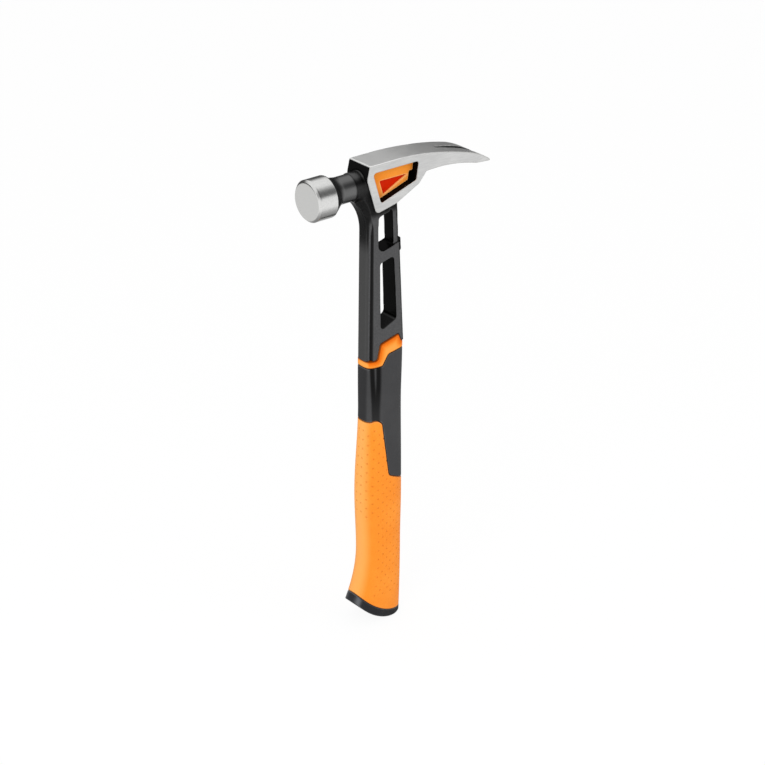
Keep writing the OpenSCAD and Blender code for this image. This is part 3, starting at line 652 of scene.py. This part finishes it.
def mark_coat(piece, points, normals):
    """Marks where the dark coat is painted lighter, as if lit, and darker, as if in shade."""
    px, py, pz = points.T
    nx, ny, nz = normals.T
    ahead, sideways = -nx, np.abs(ny)
    # The shank's side faces are painted lighter grey, as if lit: painted light.
    note(piece, "flank_light", ease(sideways, 0.75, 0.95) * ease(pz, 14 - THROAT_DROP, 8 - THROAT_DROP))
    # The shank's front faces are painted a little lighter: painted light.
    note(piece, "rail", ease(ahead, 0.45, 0.65) * ease(pz, -3 - THROAT_DROP, -17 - THROAT_DROP))
    # The side grooves are painted darker: painted shade.
    crease = np.exp(-((front_depth(px, pz) - GROOVE_BACK) / 0.75) ** 2) * groove_share(pz)
    note(piece, "crease", crease * (np.abs(py) > 2) * (pz > Z_BAND - 6))
    # Front faces of the head block and throat are painted near black: painted shade.
    brow = ease(ahead, 0.5, 0.8) * ease(pz, -14, -8)
    throat = ease(ahead, 0.72, 0.92) * ease(pz, -4 - THROAT_DROP, 6 - THROAT_DROP) * (pz < -6)
    note(piece, "brow", np.maximum(brow, 0.7 * throat))

    # Window and pocket walls are painted near black, a painted shade, less so on upward sills, as if lit;
    # the nub and a strip along the rear edge get the same near black.
    from_wall = np.minimum.reduce([np.abs(outline(path, px, pz)) for path in WINDOWS])
    sill = ease(nz, 0.5, 0.8) * (pz < LOWER_LOW + 8)
    hole = ease(sideways, 0.9, 0.6) * (from_wall < 0.6) * (1 - 0.6 * sill)
    pocket = (outline(POCKET, px, pz) < 0.3) & (np.abs(py) < CHEEK_Y - 0.3)
    behind = px - rear_x(pz)
    nub = ease(behind, -0.9, -0.5) * (pz > NUB_LOW - 0.5) * (pz < NUB_TOP + 0.5)
    rear = ease(behind, -1.3, -0.8) * ease(pz, SHANK_TOP - 4, SHANK_TOP - 7) * (pz > Z_BAND)
    rear *= 0.8 * ease(sideways, 0.4, 0.7)
    note(piece, "hole", np.maximum.reduce([hole, pocket, nub, rear]))

    # The neck and collar reflect as glossy metal. The collar is given less reflectance, a painted shade, and
    # more along its upper band, a painted highlight.
    off_axis = np.hypot(py, pz - NECK_RISE)
    upper = ease(pz, NECK_RISE + 5, NECK_RISE + 8)
    collar = (0.14 + 0.4 * upper) * np.interp(px, (COLLAR_X + 0.8, HEAD_FRONT), (1, 0.6))
    neck = np.where(px < COLLAR_X, np.interp(px, (COLLAR_X - 1.2, COLLAR_X - 0.2), (1, 0.12)), collar)
    neck = neck * ease(px, BELL_L + 5, BELL_L + 9) * ease(px, HEAD_FRONT, HEAD_FRONT - 2)
    note(piece, "neck", neck * ease(off_axis, COLLAR_R + 1.5, COLLAR_R + 0.5))


def along_handle(z, values):
    """A handle value at each height, eased from station to station."""
    last = len(STATION_Z) - 1
    span = np.clip(np.searchsorted(-np.array(STATION_Z), -z) - 1, 0, last - 1)
    start, end = np.array(STATION_Z)[span], np.array(STATION_Z)[span + 1]
    t = np.maximum(0, (z - start) / (end - start))
    t = np.where(span == last - 1, t * t, t * t * (3 - 2 * t))
    low, high = np.array(values)[span], np.array(values)[span + 1]
    return (low + (high - low) * t).astype(np.float32)


def handle_form(space):
    """Distance to the handle's rounded form."""
    front, rear, half, square = (along_handle(space.z, v)
                                 for v in (STATION_FRONT, STATION_REAR, STATION_HALF, STATION_SQUARE))
    deep = (rear - front) / 2
    u = np.abs(space.x[:, None] - (front + rear) / 2) / deep
    v = space.y[:, None] / half
    up, vp = (np.maximum(w, 1e-3) ** (square - 1) for w in (u, v))
    size = ((u * up)[:, None, :] + (v * vp)[None, :, :]) ** (1 / square)
    slope = np.sqrt(((up / deep) ** 2)[:, None, :] + ((vp / half) ** 2)[None, :, :]) * size ** (1 - square)
    return (size - 1) / np.maximum(slope, 1e-4)


def side_y(x, z):
    """Half-width of the handle's form."""
    front, rear, half, square = (along_handle(z, v)
                                 for v in (STATION_FRONT, STATION_REAR, STATION_HALF, STATION_SQUARE))
    u = np.abs(2 * x - front - rear) / (rear - front)
    return half * np.maximum(1 - u ** square, 0) ** (1 / square)


def forwardness(points):
    """How much each point lies to the front of the handle's middle line, from -1 to 1."""
    px, py, pz = points.T
    front, rear, half = (along_handle(pz, v) for v in (STATION_FRONT, STATION_REAR, STATION_HALF))
    u = (2 * px - front - rear) / (rear - front)
    return -u / np.hypot(u, py / half)


def fluted(space, form):
    """The handle's form less two flutes behind its nose, which draw together and run out on the grip."""
    x, y, _ = space.grid()
    depth = (FLUTE_D + FLUTE_CLEAR) * ease(space.z, Z_GRIP - 14, Z_GRIP) - FLUTE_CLEAR
    drawn = ease(space.z, Z_BAND_LOW, Z_GRIP)
    for r, start, end in zip(FLUTE_RADII, FLUTE_BACKS, FLUTE_MEETS):
        at = FRONT_LOW + start + (end - start) * drawn
        axis_y = side_y(at, space.z) + r - depth
        form = both(form, r - np.hypot(x - at, y - axis_y), r=1)
    return form


def region(space, low, top):
    """The side-view region between two joint lines, drawn in by half a seam."""
    return space.side([*low, *reversed(top)]) + SEAM_HALF


def bowl(x_low, z_low, r):
    """An arc across the handle that is lowest at x_low."""
    places = np.linspace(FRONT_LOW - 14, REAR_LOW + 1, CURVE_POINTS)
    return [(x, z_low + r - math.sqrt(r * r - (x - x_low) ** 2), 0) for x in places]


GRIP_TOP = [(FRONT_LOW - FAR, Z_GRIP, 0), (TONGUE_X, Z_GRIP, 4.5), (TONGUE_END_X, Z_TONGUE, 4),
            (REAR_LOW + FAR, Z_TONGUE - (REAR_LOW + FAR - TONGUE_END_X) * TONGUE_SLOPE, 0)]
CAP_LINE = bowl(CAP_LINE_X, Z_BUTT + CAP_REAR_H, CAP_LINE_R)
BUTT_LINE = bowl(BUTT_X, Z_BUTT + BUTT_INSET, BUTT_R)
SPIGOT_HALF = 8
SPIGOT_HALF_W = 4.5
SPIGOT_LOW = Z_BUTT + 7
SPIGOT_TOP = Z_BUTT + 26
SPIGOT = [(HANDLE_X - SPIGOT_HALF, SPIGOT_LOW, 0), (HANDLE_X + SPIGOT_HALF, SPIGOT_LOW, 0),
          (HANDLE_X + SPIGOT_HALF, SPIGOT_TOP, 1.5), (HANDLE_X - SPIGOT_HALF, SPIGOT_TOP, 1.5)]


def sleeve():
    space = Space((40, 0, TANG_LOW - 5), (REAR_LOW + 3, 10, Z_CREST + 2), step=0.4)
    _, y, z = space.grid()
    band = both(handle_form(space), region(space, BAND_LOW, BAND_TOP), r=0.5)
    cover = np.maximum(space.side(TANG) - SLEEVE_WALL, y - TANG_HALF_W - SLEEVE_WALL)
    cover = np.maximum(cover, z - Z_BAND_LOW)
    bore = np.maximum(space.side(TANG) - FIT_GAP, y - TANG_HALF_W - FIT_GAP)
    value = np.maximum(np.minimum(band, cover), -bore)
    piece, points, normals = skin("band", "insulation_sleeve", space, value, most=60000)
    under_line = [*BAND_TOP, (REAR_LOW + FAR, Z_BUTT - FAR, 0), (FRONT_LOW - FAR, Z_BUTT - FAR, 0)]
    # Depth below the band's top line, for its painted light and shade.
    note(piece, "below", -outline(under_line, points[:, 0], points[:, 2]))
    # Facing the front, for the band's painted light.
    note(piece, "fore", -normals[:, 0])
    return piece


def casing():
    space = Space((28, 0, Z_BUTT - 1), (REAR_LOW + 3, 14, Z_LOW_CREST + 2), step=0.42)
    y = space.grid()[1]
    plain = handle_form(space)
    form = fluted(space, plain)
    shell = both(form, region(space, GRIP_TOP, BAND_LOW), r=0.5)
    core = np.maximum(form + GRIP_WALL + FIT_GAP, region(space, CAP_LINE, BAND_LOW))
    wall = SLEEVE_WALL + FIT_GAP
    bore = np.maximum(space.side(TANG) - wall, y - TANG_HALF_W - wall)
    socket = np.maximum(space.side(SPIGOT) - FIT_GAP, y - SPIGOT_HALF_W - FIT_GAP)
    value = np.maximum.reduce([np.minimum(shell, core), -bore, -socket])
    piece, points, normals = skin("casing", "handle_shell", space, value, most=120000)
    depth = -Sampled(space, plain).at(points)
    # Depth of the flutes, for painted shade in them.
    note(piece, "flute", ease(depth, 0, 1.1) * np.interp(points[:, 2], (Z_GRIP, Z_GRIP + 24), (0.7, 1)))
    # Facing the front, for the casing's painted shade.
    note(piece, "fore", -normals[:, 0])
    return piece


def dimples(space, form):
    """Distance to the grip's dimples: staggered columns round the handle, shorter on its front."""
    x, y, z = space.grid()
    front, rear = (along_handle(space.z, v) for v in (STATION_FRONT, STATION_REAR))
    columns = 24
    pitch = 6.9
    mean_r = 14.5
    ball_r, ball_rise = 0.95, 0.5
    first_z, front_end_z, side_end_z = -176, -246, -308
    front_turn = 0.9
    turn = np.arctan2(y, (front + rear)[None, None, :] / 2 - x)
    column = np.round(turn * columns / (2 * math.pi) - 0.5) + 0.5
    across = (turn - column * 2 * math.pi / columns) * mean_r
    offset = np.where(np.floor(column) % 2 == 0, 0, 0.5)
    row = np.round((z - Z_GRIP) / pitch - offset) + offset
    place = Z_GRIP + row * pitch
    here = (place < first_z) & (place > np.where(np.abs(turn) < front_turn, front_end_z, side_end_z))
    up = z - Z_GRIP - row * pitch
    ball = np.sqrt(across ** 2 + up ** 2 + (form - ball_rise) ** 2) - ball_r
    return np.where(here, ball, FAR)


def grip():
    space = Space((28, 0, Z_BUTT), (REAR_LOW + 2, 14.2, Z_GRIP + 2), step=0.32)
    form = fluted(space, handle_form(space))
    dimpled = both(form, -dimples(space, form), r=0.15)
    value = both(dimpled, region(space, CAP_LINE, GRIP_TOP), r=0.4)
    value = np.maximum(value, -(form + GRIP_WALL))
    piece, points, _ = skin("grip_skin", "grip", space, value, most=190000)
    depth = -Sampled(space, form).at(points)
    # Depth of the dimples, for painted shade in them.
    note(piece, "pit", ease(depth, 0.06, 0.26) * (depth < 1))
    # Distance from the grip's seams, for painted shadow along them.
    note(piece, "seam", -outline([*CAP_LINE, *reversed(GRIP_TOP)], points[:, 0], points[:, 2]))
    # Lying to the front, for the grip's painted light.
    note(piece, "fore", forwardness(points))
    return piece


def cap():
    space = Space((28, 0, Z_BUTT - 1), (REAR_LOW + 2, 14.2, Z_BUTT + 34), step=0.36)
    y = space.grid()[1]
    shell = both(handle_form(space), space.side([*BUTT_LINE, *reversed(CAP_LINE)]), r=0.4)
    spigot = both(space.side(SPIGOT), y - SPIGOT_HALF_W, r=0.5)
    value = np.minimum(shell, spigot)
    piece, _, normals = skin("cap", "butt_cap", space, value, most=50000)
    # Facing the front, for the cap's painted highlight.
    note(piece, "fore", -normals[:, 0])
    return piece


# Cheek inserts: the pocket's outline, cut back at its lower rear corner, with a triangular recess
PLUG = [(pocket_front(POCKET_CHIN) + FIT_GAP, POCKET_CHIN + FIT_GAP, 2),
        (POCKET_REAR - POCKET_REAR_LEAN - FIT_GAP, POCKET_TOP - POCKET_REAR_H + FIT_GAP, 2),
        (POCKET_REAR - FIT_GAP, POCKET_TOP - FIT_GAP, 2),
        (pocket_front(POCKET_TOP) + FIT_GAP, POCKET_TOP - FIT_GAP, 2)]
BAR_Z = PLUG[2][1] - INSERT_BAR_H
CUT_X = PLUG[1][0] - INSERT_CUT
CUT_Z = PLUG[0][1] + (PLUG[1][1] - PLUG[0][1]) * (CUT_X - PLUG[0][0]) / (PLUG[1][0] - PLUG[0][0])
INSERT = [PLUG[0], (CUT_X, CUT_Z, 0.8), (CUT_X + 1, BAR_Z, 0.8), (PLUG[2][0] - 1, BAR_Z, 0.8), *PLUG[2:]]
RECESS_LOW = PLUG[0][1] + RECESS_RISE
RECESS_TOP = BAR_Z - 2 * RECESS_GAP
RECESS = [(pocket_front(RECESS_LOW) + RECESS_LIP, RECESS_LOW, RECESS_R),
          (CUT_X - RECESS_GAP, RECESS_TOP - RECESS_FALL, RECESS_TIP_R),
          (pocket_front(RECESS_TOP) + RECESS_LIP, RECESS_TOP, RECESS_R)]


def beside(points, a, b):
    """Distance to the right of the side-view line from a to b."""
    run = unit(np.array(b[:2]) - np.array(a[:2]))
    return (points[:, 0] - a[0]) * run[1] - (points[:, 2] - a[1]) * run[0]


def insert(side):
    """One insert, on the side where Y has the given sign."""
    y_low, y_high = sorted((side * (WEB_HALF - 0.6), side * (INSERT_FACE + 0.8)))
    low = (42, y_low, POCKET_CHIN - 1)
    high = (POCKET_REAR + 1, y_high, POCKET_TOP + 1)
    space = Space(low, high, step=0.25, mirrored=False)
    out = side * space.grid()[1]
    block = both(space.side(INSERT), np.maximum(out - INSERT_FACE, WEB_HALF + FIT_GAP - out), r=0.35)
    recess = both(space.side(RECESS), INSERT_FACE - RECESS_D - out, r=0.3)
    value = both(block, -recess, r=0.3)
    name = "left" if side < 0 else "right"
    node = "cheek_insert_" + name
    piece, points, _ = skin("insert_" + name, node, space, value, most=40000)
    # The depth below the face, for the recess's painted shade.
    note(piece, "recess_shade_depth", INSERT_FACE - side * points[:, 1])
    under = beside(points, RECESS[0], RECESS[1])
    ahead = beside(points, RECESS[2], RECESS[0])
    # Strips below and before the recess, for painted light.
    low_lip = ease(under, 2.6, 0) * (under > 0)
    front_lip = ease(ahead, 4, 0) * (ahead > 0) * (under < 0)
    front_lip *= ease(points[:, 2], RECESS_TOP + 1, RECESS_TOP - 2)
    note(piece, "lip", np.maximum(low_lip, 0.5 * front_lip))
    return piece


# Materials
ORANGE, PALE_ORANGE = (0.95, 0.28, 0.024), (1.0, 0.32, 0.034)
# Dark brown painted along seams between parts: painted shadow.
SEAM_SHADOW = (0.25, 0.05, 0.002)
GRAIN_HEIGHT = 0.0001


def grey(tone):
    return (tone, tone, tone)


class Nodes:
    """A node tree, with short calls for its usual nodes. What they take are sockets, numbers or tones."""

    def __init__(self, tree):
        self.tree = tree

    def add(self, kind, **settings):
        made = self.tree.nodes.new(kind)
        for key, value in settings.items():
            setattr(made, key, value)
        return made

    def put(self, value, socket):
        if isinstance(value, bpy.types.NodeSocket):
            self.tree.links.new(value, socket)
        else:
            socket.default_value = value

    def ramp(self, value, start, end, low=0.0, high=1.0):
        """Runs smoothly from low at start to high at end."""
        made = self.add("ShaderNodeMapRange", interpolation_type="SMOOTHSTEP")
        for socket, number in zip(made.inputs[:5], (value, start, end, low, high)):
            self.put(number, socket)
        return made.outputs["Result"]

    def math(self, operation, a, b):
        made = self.add("ShaderNodeMath", operation=operation)
        self.put(a, made.inputs[0])
        self.put(b, made.inputs[1])
        return made.outputs[0]

    def blend(self, factor, a, b):
        """A number from a to b."""
        made = self.add("ShaderNodeMix")
        for value, socket in ((factor, made.inputs[0]), (a, made.inputs[2]), (b, made.inputs[3])):
            self.put(value, socket)
        return made.outputs[0]

    def mix(self, factor, a, b):
        """A tone from a to b."""
        made = self.add("ShaderNodeMix", data_type="RGBA")
        self.put(factor, made.inputs[0])
        for value, socket in ((a, made.inputs[6]), (b, made.inputs[7])):
            self.put(value if isinstance(value, bpy.types.NodeSocket) else (*value, 1), socket)
        return made.outputs[2]

    def axes(self, place):
        """The X, Y and Z of a place."""
        made = self.add("ShaderNodeSeparateXYZ")
        self.put(place, made.inputs[0])
        return made.outputs


class Look(Nodes):
    """The nodes of a material on one Principled shader."""

    def __init__(self, name, **fixed):
        self.material = bpy.data.materials.new(name)
        self.material.use_nodes = True
        super().__init__(self.material.node_tree)
        self.shader = self.tree.nodes["Principled BSDF"]
        for socket, value in fixed.items():
            self.shader.inputs[socket.replace("_", " ")].default_value = value
        self.place = self.add("ShaderNodeTexCoord").outputs["Object"]

    def attribute(self, name):
        return self.add("ShaderNodeAttribute", attribute_name=name).outputs["Fac"]

    def noise(self, scale, detail, stretch=(1, 1, 1)):
        move = self.add("ShaderNodeMapping")
        move.inputs["Scale"].default_value = stretch
        self.put(self.place, move.inputs["Vector"])
        made = self.add("ShaderNodeTexNoise")
        self.put(move.outputs["Vector"], made.inputs["Vector"])
        made.inputs["Scale"].default_value = scale
        made.inputs["Detail"].default_value = detail
        return made.outputs["Fac"]

    def set(self, name, value):
        self.put(value, self.shader.inputs[name])

    def tint(self, factor, tone):
        """Mixes one more tone into the colour."""
        colour = self.shader.inputs["Base Color"].links[0].from_socket
        self.set("Base Color", self.mix(factor, colour, tone))

    def bump(self, height, strength):
        made = self.add("ShaderNodeBump")
        made.inputs["Strength"].default_value = strength
        made.inputs["Distance"].default_value = GRAIN_HEIGHT
        self.put(height, made.inputs["Height"])
        self.put(made.outputs["Normal"], self.shader.inputs["Normal"])


def steel_look():
    """Bare metal, polished on the bell and satin elsewhere, and a dark coat with a ragged limit."""
    look = Look("forged_steel", Specular_IOR_Level=0.02)
    speckle = look.noise(900, 3)
    patches = look.noise(60, 4)
    brushed = look.noise(1500, 2, (0.08, 1, 1))
    edge = look.attribute("edge")
    neck = look.attribute("neck")
    ragged = look.math("MULTIPLY", look.math("SUBTRACT", look.noise(700, 2), 0.5), 0.25)
    bare = look.ramp(look.math("ADD", look.attribute("bare"), ragged), -0.12, 0.12)
    bell = look.ramp(look.attribute("bell"), -0.1, 0.1)
    outer_edge = look.ramp(edge, 0.05, 0.15)

    satin = look.mix(look.ramp(patches, 0.3, 0.7), (0.64, 0.64, 0.635), (0.71, 0.71, 0.70))
    satin = look.mix(look.ramp(brushed, 0.35, 0.65, 0.0, 0.3), satin, grey(0.57))
    satin = look.mix(outer_edge, satin, (0.52, 0.52, 0.51))
    # The top of the head is painted lighter: a painted highlight.
    satin = look.mix(look.attribute("top_highlight"), satin, (0.88, 0.88, 0.87))
    polished = look.mix(look.ramp(speckle, 0.3, 0.7), (0.68, 0.68, 0.67), (0.74, 0.74, 0.73))
    polished = look.mix(look.attribute("face"), polished, (0.56, 0.56, 0.55))
    metal = look.mix(bell, satin, polished)

    specks = look.ramp(speckle, 0.35, 0.7)
    side = look.mix(specks, (0.072, 0.072, 0.074), (0.088, 0.088, 0.090))
    coat = look.mix(specks, grey(0.010), grey(0.016))
    # The neck's and collar's reflectance, with the collar's painted shade and highlight.
    coat = look.mix(neck, coat, grey(0.15))
    # Front faces of the shank painted a little lighter: painted light.
    coat = look.mix(look.attribute("rail"), coat, grey(0.058))
    # Side faces of the shank painted lighter grey: painted light.
    coat = look.mix(look.attribute("flank_light"), coat, side)
    # Outer edges of the coat painted lighter: a painted highlight.
    coat = look.mix(look.ramp(edge, 0.06, 0.2, 0.0, 0.5), coat, (0.09, 0.09, 0.092))
    # Front faces of the head block and throat painted near black: painted shade.
    coat = look.mix(look.attribute("brow"), coat, grey(0.006))
    # The side grooves painted darker: painted shade.
    coat = look.mix(look.ramp(look.attribute("crease"), 0.1, 0.8), coat, grey(0.013))
    # Window and pocket walls painted near black: painted shade; the nub and the rear strip get the same.
    coat = look.mix(look.attribute("hole"), coat, grey(0.001))
    look.set("Base Color", look.mix(bare, coat, metal))

    dull = look.math("MULTIPLY", outer_edge, look.math("SUBTRACT", 1.0, bell))
    shiny = look.math("SUBTRACT", bare, look.math("MULTIPLY", dull, 0.9))
    look.set("Metallic", look.math("MAXIMUM", shiny, look.ramp(neck, 0.02, 0.12)))
    metal_rough = look.blend(bell, look.ramp(brushed, 0.3, 0.7, 0.36, 0.46), 0.2)
    coat_rough = look.ramp(patches, 0.3, 0.7, 0.24, 0.34)
    look.set("Roughness", look.blend(bare, coat_rough, metal_rough))
    look.bump(speckle, 0.25)
    return look.material


def plastic_look(name, tone, light, rough, grain, scale, shine, **fixed):
    """A moulded plastic of two close tones, paler on its outer edges from wear and a painted highlight, with
    a fine spark-eroded grain.
    """
    look = Look(name, Specular_IOR_Level=shine, **fixed)
    patches = look.noise(45, 4)
    fine = look.noise(scale, 2)
    shaded = tuple(c * 0.7 for c in tone)
    pale = tuple(c + (1 - c) * 0.12 for c in light)
    on_edges = look.ramp(look.attribute("edge"), 0.08, 0.25, 0.0, 0.6)
    # Outer edges paler in patches: wear, and a painted edge highlight.
    wear_and_highlight = look.math("MULTIPLY", on_edges, look.ramp(patches, 0.35, 0.6, 0.4, 1.0))
    look.set("Base Color", look.mix(look.ramp(patches, 0.3, 0.7), tone, light))
    look.tint(look.ramp(fine, 0.35, 0.7, 0.0, 0.18), shaded)
    look.tint(wear_and_highlight, pale)
    look.set("Roughness", look.ramp(fine, 0.3, 0.7, rough - 0.06, rough + 0.08))
    look.bump(fine, grain)
    return look


def insert_look():
    """The inserts have a painted highlight on their edges and lips, and painted shade, deep red-orange, in
    the recess.
    """
    look = plastic_look("insert_orange", (1.0, 0.28, 0.024), (1.0, 0.335, 0.04),
                        rough=0.45, grain=0.2, scale=1500, shine=0.05)
    # Outer edges painted paler: a painted highlight.
    look.tint(look.ramp(look.attribute("edge"), 0.04, 0.14, 0.0, 0.8), (1.0, 0.48, 0.16))
    # The strips beside the recess painted paler: painted light.
    look.tint(look.math("MULTIPLY", look.attribute("lip"), 0.7), (1.0, 0.46, 0.15))
    # The recess painted deep red-orange: painted shade.
    look.tint(look.ramp(look.attribute("recess_shade_depth"), 0.5, 1.5), (0.64, 0.018, 0.0))
    return look.material


def band_look():
    """The band's orange has painted shade, deeper, along its upper edge, and painted light, paler, on its
    front and its lower part.
    """
    look = plastic_look("sleeve_orange", ORANGE, PALE_ORANGE, rough=0.45, grain=0.15, scale=1400, shine=0.05)
    below = look.attribute("below")
    # The front and the lower part painted paler: painted light.
    front = look.ramp(look.attribute("fore"), 0.58, 1.0, 0.0, 0.7)
    look.tint(look.math("MAXIMUM", look.ramp(below, 3.0, 7.0, 0.0, 0.6), front), (1.0, 0.42, 0.09))
    # Along the upper edge, away from the front, painted deeper: painted shade.
    look.tint(look.math("SUBTRACT", look.ramp(below, 5.0, 0.8, 0.0, 0.95), front), (0.76, 0.13, 0.001))
    # The outer edges by the seams painted dark brown: painted shadow.
    look.tint(look.ramp(look.attribute("edge"), 0.04, 0.16, 0.0, 0.6), SEAM_SHADOW)
    # The very top edge painted darkest: painted shadow along the joint above.
    look.tint(look.ramp(below, 0.9, 0.35, 0.0, 0.7), (0.16, 0.03, 0.002))
    return look.material


def casing_look():
    """The casing has painted shade, darker, on its front and in its flutes."""
    look = plastic_look("casing_black", (0.056, 0.056, 0.058), (0.066, 0.066, 0.068),
                        rough=0.42, grain=0.2, scale=1600, shine=0.03)
    # The front painted darker: painted shade.
    look.tint(look.ramp(look.attribute("fore"), 0.84, 1.0, 0.0, 0.62), (0.016, 0.016, 0.017))
    # The flutes painted near black: painted shade.
    look.tint(look.math("MULTIPLY", look.attribute("flute"), 0.95), grey(0.006))
    return look.material


def grip_look():
    """The soft grip has painted light, paler, on its front, and painted shade, darker, in its dimples and
    along its seams.
    """
    look = plastic_look("grip_orange", ORANGE, PALE_ORANGE, rough=0.55, grain=0.3, scale=1200, shine=0.08,
                        Sheen_Weight=0.12, Sheen_Roughness=0.4)
    # The front painted paler: painted light.
    look.tint(look.ramp(look.attribute("fore"), 0.7, 1.03), (1.0, 0.43, 0.10))
    # The dimples painted darker: painted shade.
    look.tint(look.math("MULTIPLY", look.attribute("pit"), 0.38), (0.52, 0.15, 0.01))
    # Along the seams painted dark brown: painted shadow.
    look.tint(look.ramp(look.attribute("seam"), 0.9, 0.3, 0.0, 0.55), SEAM_SHADOW)
    return look.material


def cap_look():
    """The cap has a painted highlight, a paler streak, down each side of its front."""
    look = plastic_look("cap_black", (0.022, 0.023, 0.026), (0.032, 0.033, 0.036),
                        rough=0.4, grain=0.25, scale=1500, shine=0.15)
    fore = look.attribute("fore")
    # A paler streak down each side of the front: a painted highlight.
    rise, fall = look.ramp(fore, 0.55, 0.76, 0.0, 0.8), look.ramp(fore, 0.78, 0.93, 1.0, 0.0)
    look.tint(look.math("MULTIPLY", rise, fall), (0.14, 0.145, 0.155))
    return look.material


def dress(piece, material):
    piece.data.materials.clear()
    piece.data.materials.append(material)


dress(forging(), steel_look())
inserts = insert_look()
for sign in (-1, 1):
    dress(insert(sign), inserts)
dress(sleeve(), band_look())
dress(casing(), casing_look())
dress(grip(), grip_look())
dress(cap(), cap_look())


# Studio: a pale floor, a soft dome and two soft lamps
FLOOR_Z = Z_BUTT - 0.3
FLOOR_HALF = 4000
FLOOR_STEPS = 8
FLOOR_GLOW = 1.02
DOME_LIGHT = 0.78
LAMP_SIZE = 1.2
CAMERA_PLACE = (-0.8329, -1.1054, 0.5466)
CAMERA_TARGET = (0.06228, 0.0, -0.14714)
SENSOR = 36
FOCAL_PX, IMAGE_PX = 2325, 765


def floor():
    """The floor keeps the shadow. Metal sees it darker round the handle, a painted shadow, and far behind
    it.
    """
    places = np.linspace(-FLOOR_HALF, FLOOR_HALF, FLOOR_STEPS + 1)
    points = [(x, y, FLOOR_Z) for x in places for y in places]
    row = FLOOR_STEPS + 1
    corners = (0, row, row + 1, 1)
    faces = [[i * row + j + c for c in corners] for i in range(FLOOR_STEPS) for j in range(FLOOR_STEPS)]
    piece = mesh_object("floor", np.array(points), np.array(faces))

    material = bpy.data.materials.new("floor_white")
    material.use_nodes = True
    nodes = Nodes(material.node_tree)
    nodes.tree.nodes.clear()
    ray = nodes.add("ShaderNodeLightPath").outputs
    place = nodes.add("ShaderNodeTexCoord").outputs["Object"]
    away = nodes.add("ShaderNodeVectorMath", operation="DISTANCE")
    nodes.put(place, away.inputs[0])
    nodes.put((HANDLE_X * MM, 0, FLOOR_Z * MM), away.inputs[1])
    # Close round the handle, reflections of the floor are darker: a painted shadow.
    near = nodes.ramp(away.outputs["Value"], 0.08, 0.6, 0.2, FLOOR_GLOW)
    back = nodes.ramp(nodes.axes(place)["Y"], 0.9, 1.6, 1.0, 0.1)
    mirrored = nodes.math("MULTIPLY", near, back)
    glow = nodes.add("ShaderNodeEmission")
    nodes.put(nodes.blend(ray["Is Glossy Ray"], FLOOR_GLOW, mirrored), glow.inputs["Strength"])
    matt = nodes.add("ShaderNodeBsdfDiffuse")
    nodes.put((*grey(0.85), 1), matt.inputs["Color"])
    seen = nodes.math("MAXIMUM", ray["Is Camera Ray"], ray["Is Glossy Ray"])
    cover = nodes.add("ShaderNodeMixShader")
    nodes.put(nodes.math("MULTIPLY", seen, 0.9), cover.inputs[0])
    nodes.put(matt.outputs[0], cover.inputs[1])
    nodes.put(glow.outputs[0], cover.inputs[2])
    out = nodes.add("ShaderNodeOutputMaterial")
    nodes.put(cover.outputs[0], out.inputs["Surface"])
    dress(piece, material)


def world():
    """A white dome. Metal sees it darker high up in front, and darkest low down behind."""
    studio = bpy.data.worlds.new("studio")
    bpy.context.scene.world = studio
    studio.use_nodes = True
    nodes = Nodes(studio.node_tree)
    ray = nodes.add("ShaderNodeLightPath").outputs
    way = nodes.axes(nodes.add("ShaderNodeTexCoord").outputs["Generated"])
    high = nodes.ramp(way["Z"], 0.15, 0.45)
    sky = nodes.blend(high, 1.0, nodes.ramp(way["Y"], -0.6, 0.0, 0.14, 0.97))
    low = nodes.ramp(way["Z"], 0.66, 0.32, 0.0, 0.97)
    dusk = nodes.math("MULTIPLY", nodes.ramp(way["Y"], 0.2, 0.5), low)
    mirrored = nodes.blend(dusk, sky, 0.05)
    unseen = nodes.blend(ray["Is Glossy Ray"], DOME_LIGHT, mirrored)
    background = nodes.tree.nodes["Background"]
    nodes.put((1, 1, 1, 1), background.inputs["Color"])
    nodes.put(nodes.blend(ray["Is Camera Ray"], unseen, 1.0), background.inputs["Strength"])


def aimed(name, data, place):
    """An object for a lamp or camera, turned towards the middle of the picture."""
    piece = bpy.data.objects.new(name, data)
    piece.location = place
    piece.rotation_euler = (Vector(CAMERA_TARGET) - Vector(place)).to_track_quat("-Z", "Y").to_euler()
    bpy.context.scene.collection.objects.link(piece)
    return piece


def lamp(name, place, power):
    light = bpy.data.lights.new(name, "AREA")
    light.size = LAMP_SIZE
    light.energy = power
    aimed(name, light, place).visible_glossy = False


def camera():
    lens = bpy.data.cameras.new("camera")
    lens.sensor_width = SENSOR
    lens.lens = FOCAL_PX / IMAGE_PX * SENSOR
    lens.clip_end = 20
    bpy.context.scene.camera = aimed("camera", lens, CAMERA_PLACE)


floor()
world()
lamp("key", (-1.3, -0.9, 0.9), power=14)
lamp("fill", (0.9, -1.5, 0.3), power=5)
camera()
bpy.context.scene.view_settings.view_transform = "Standard"
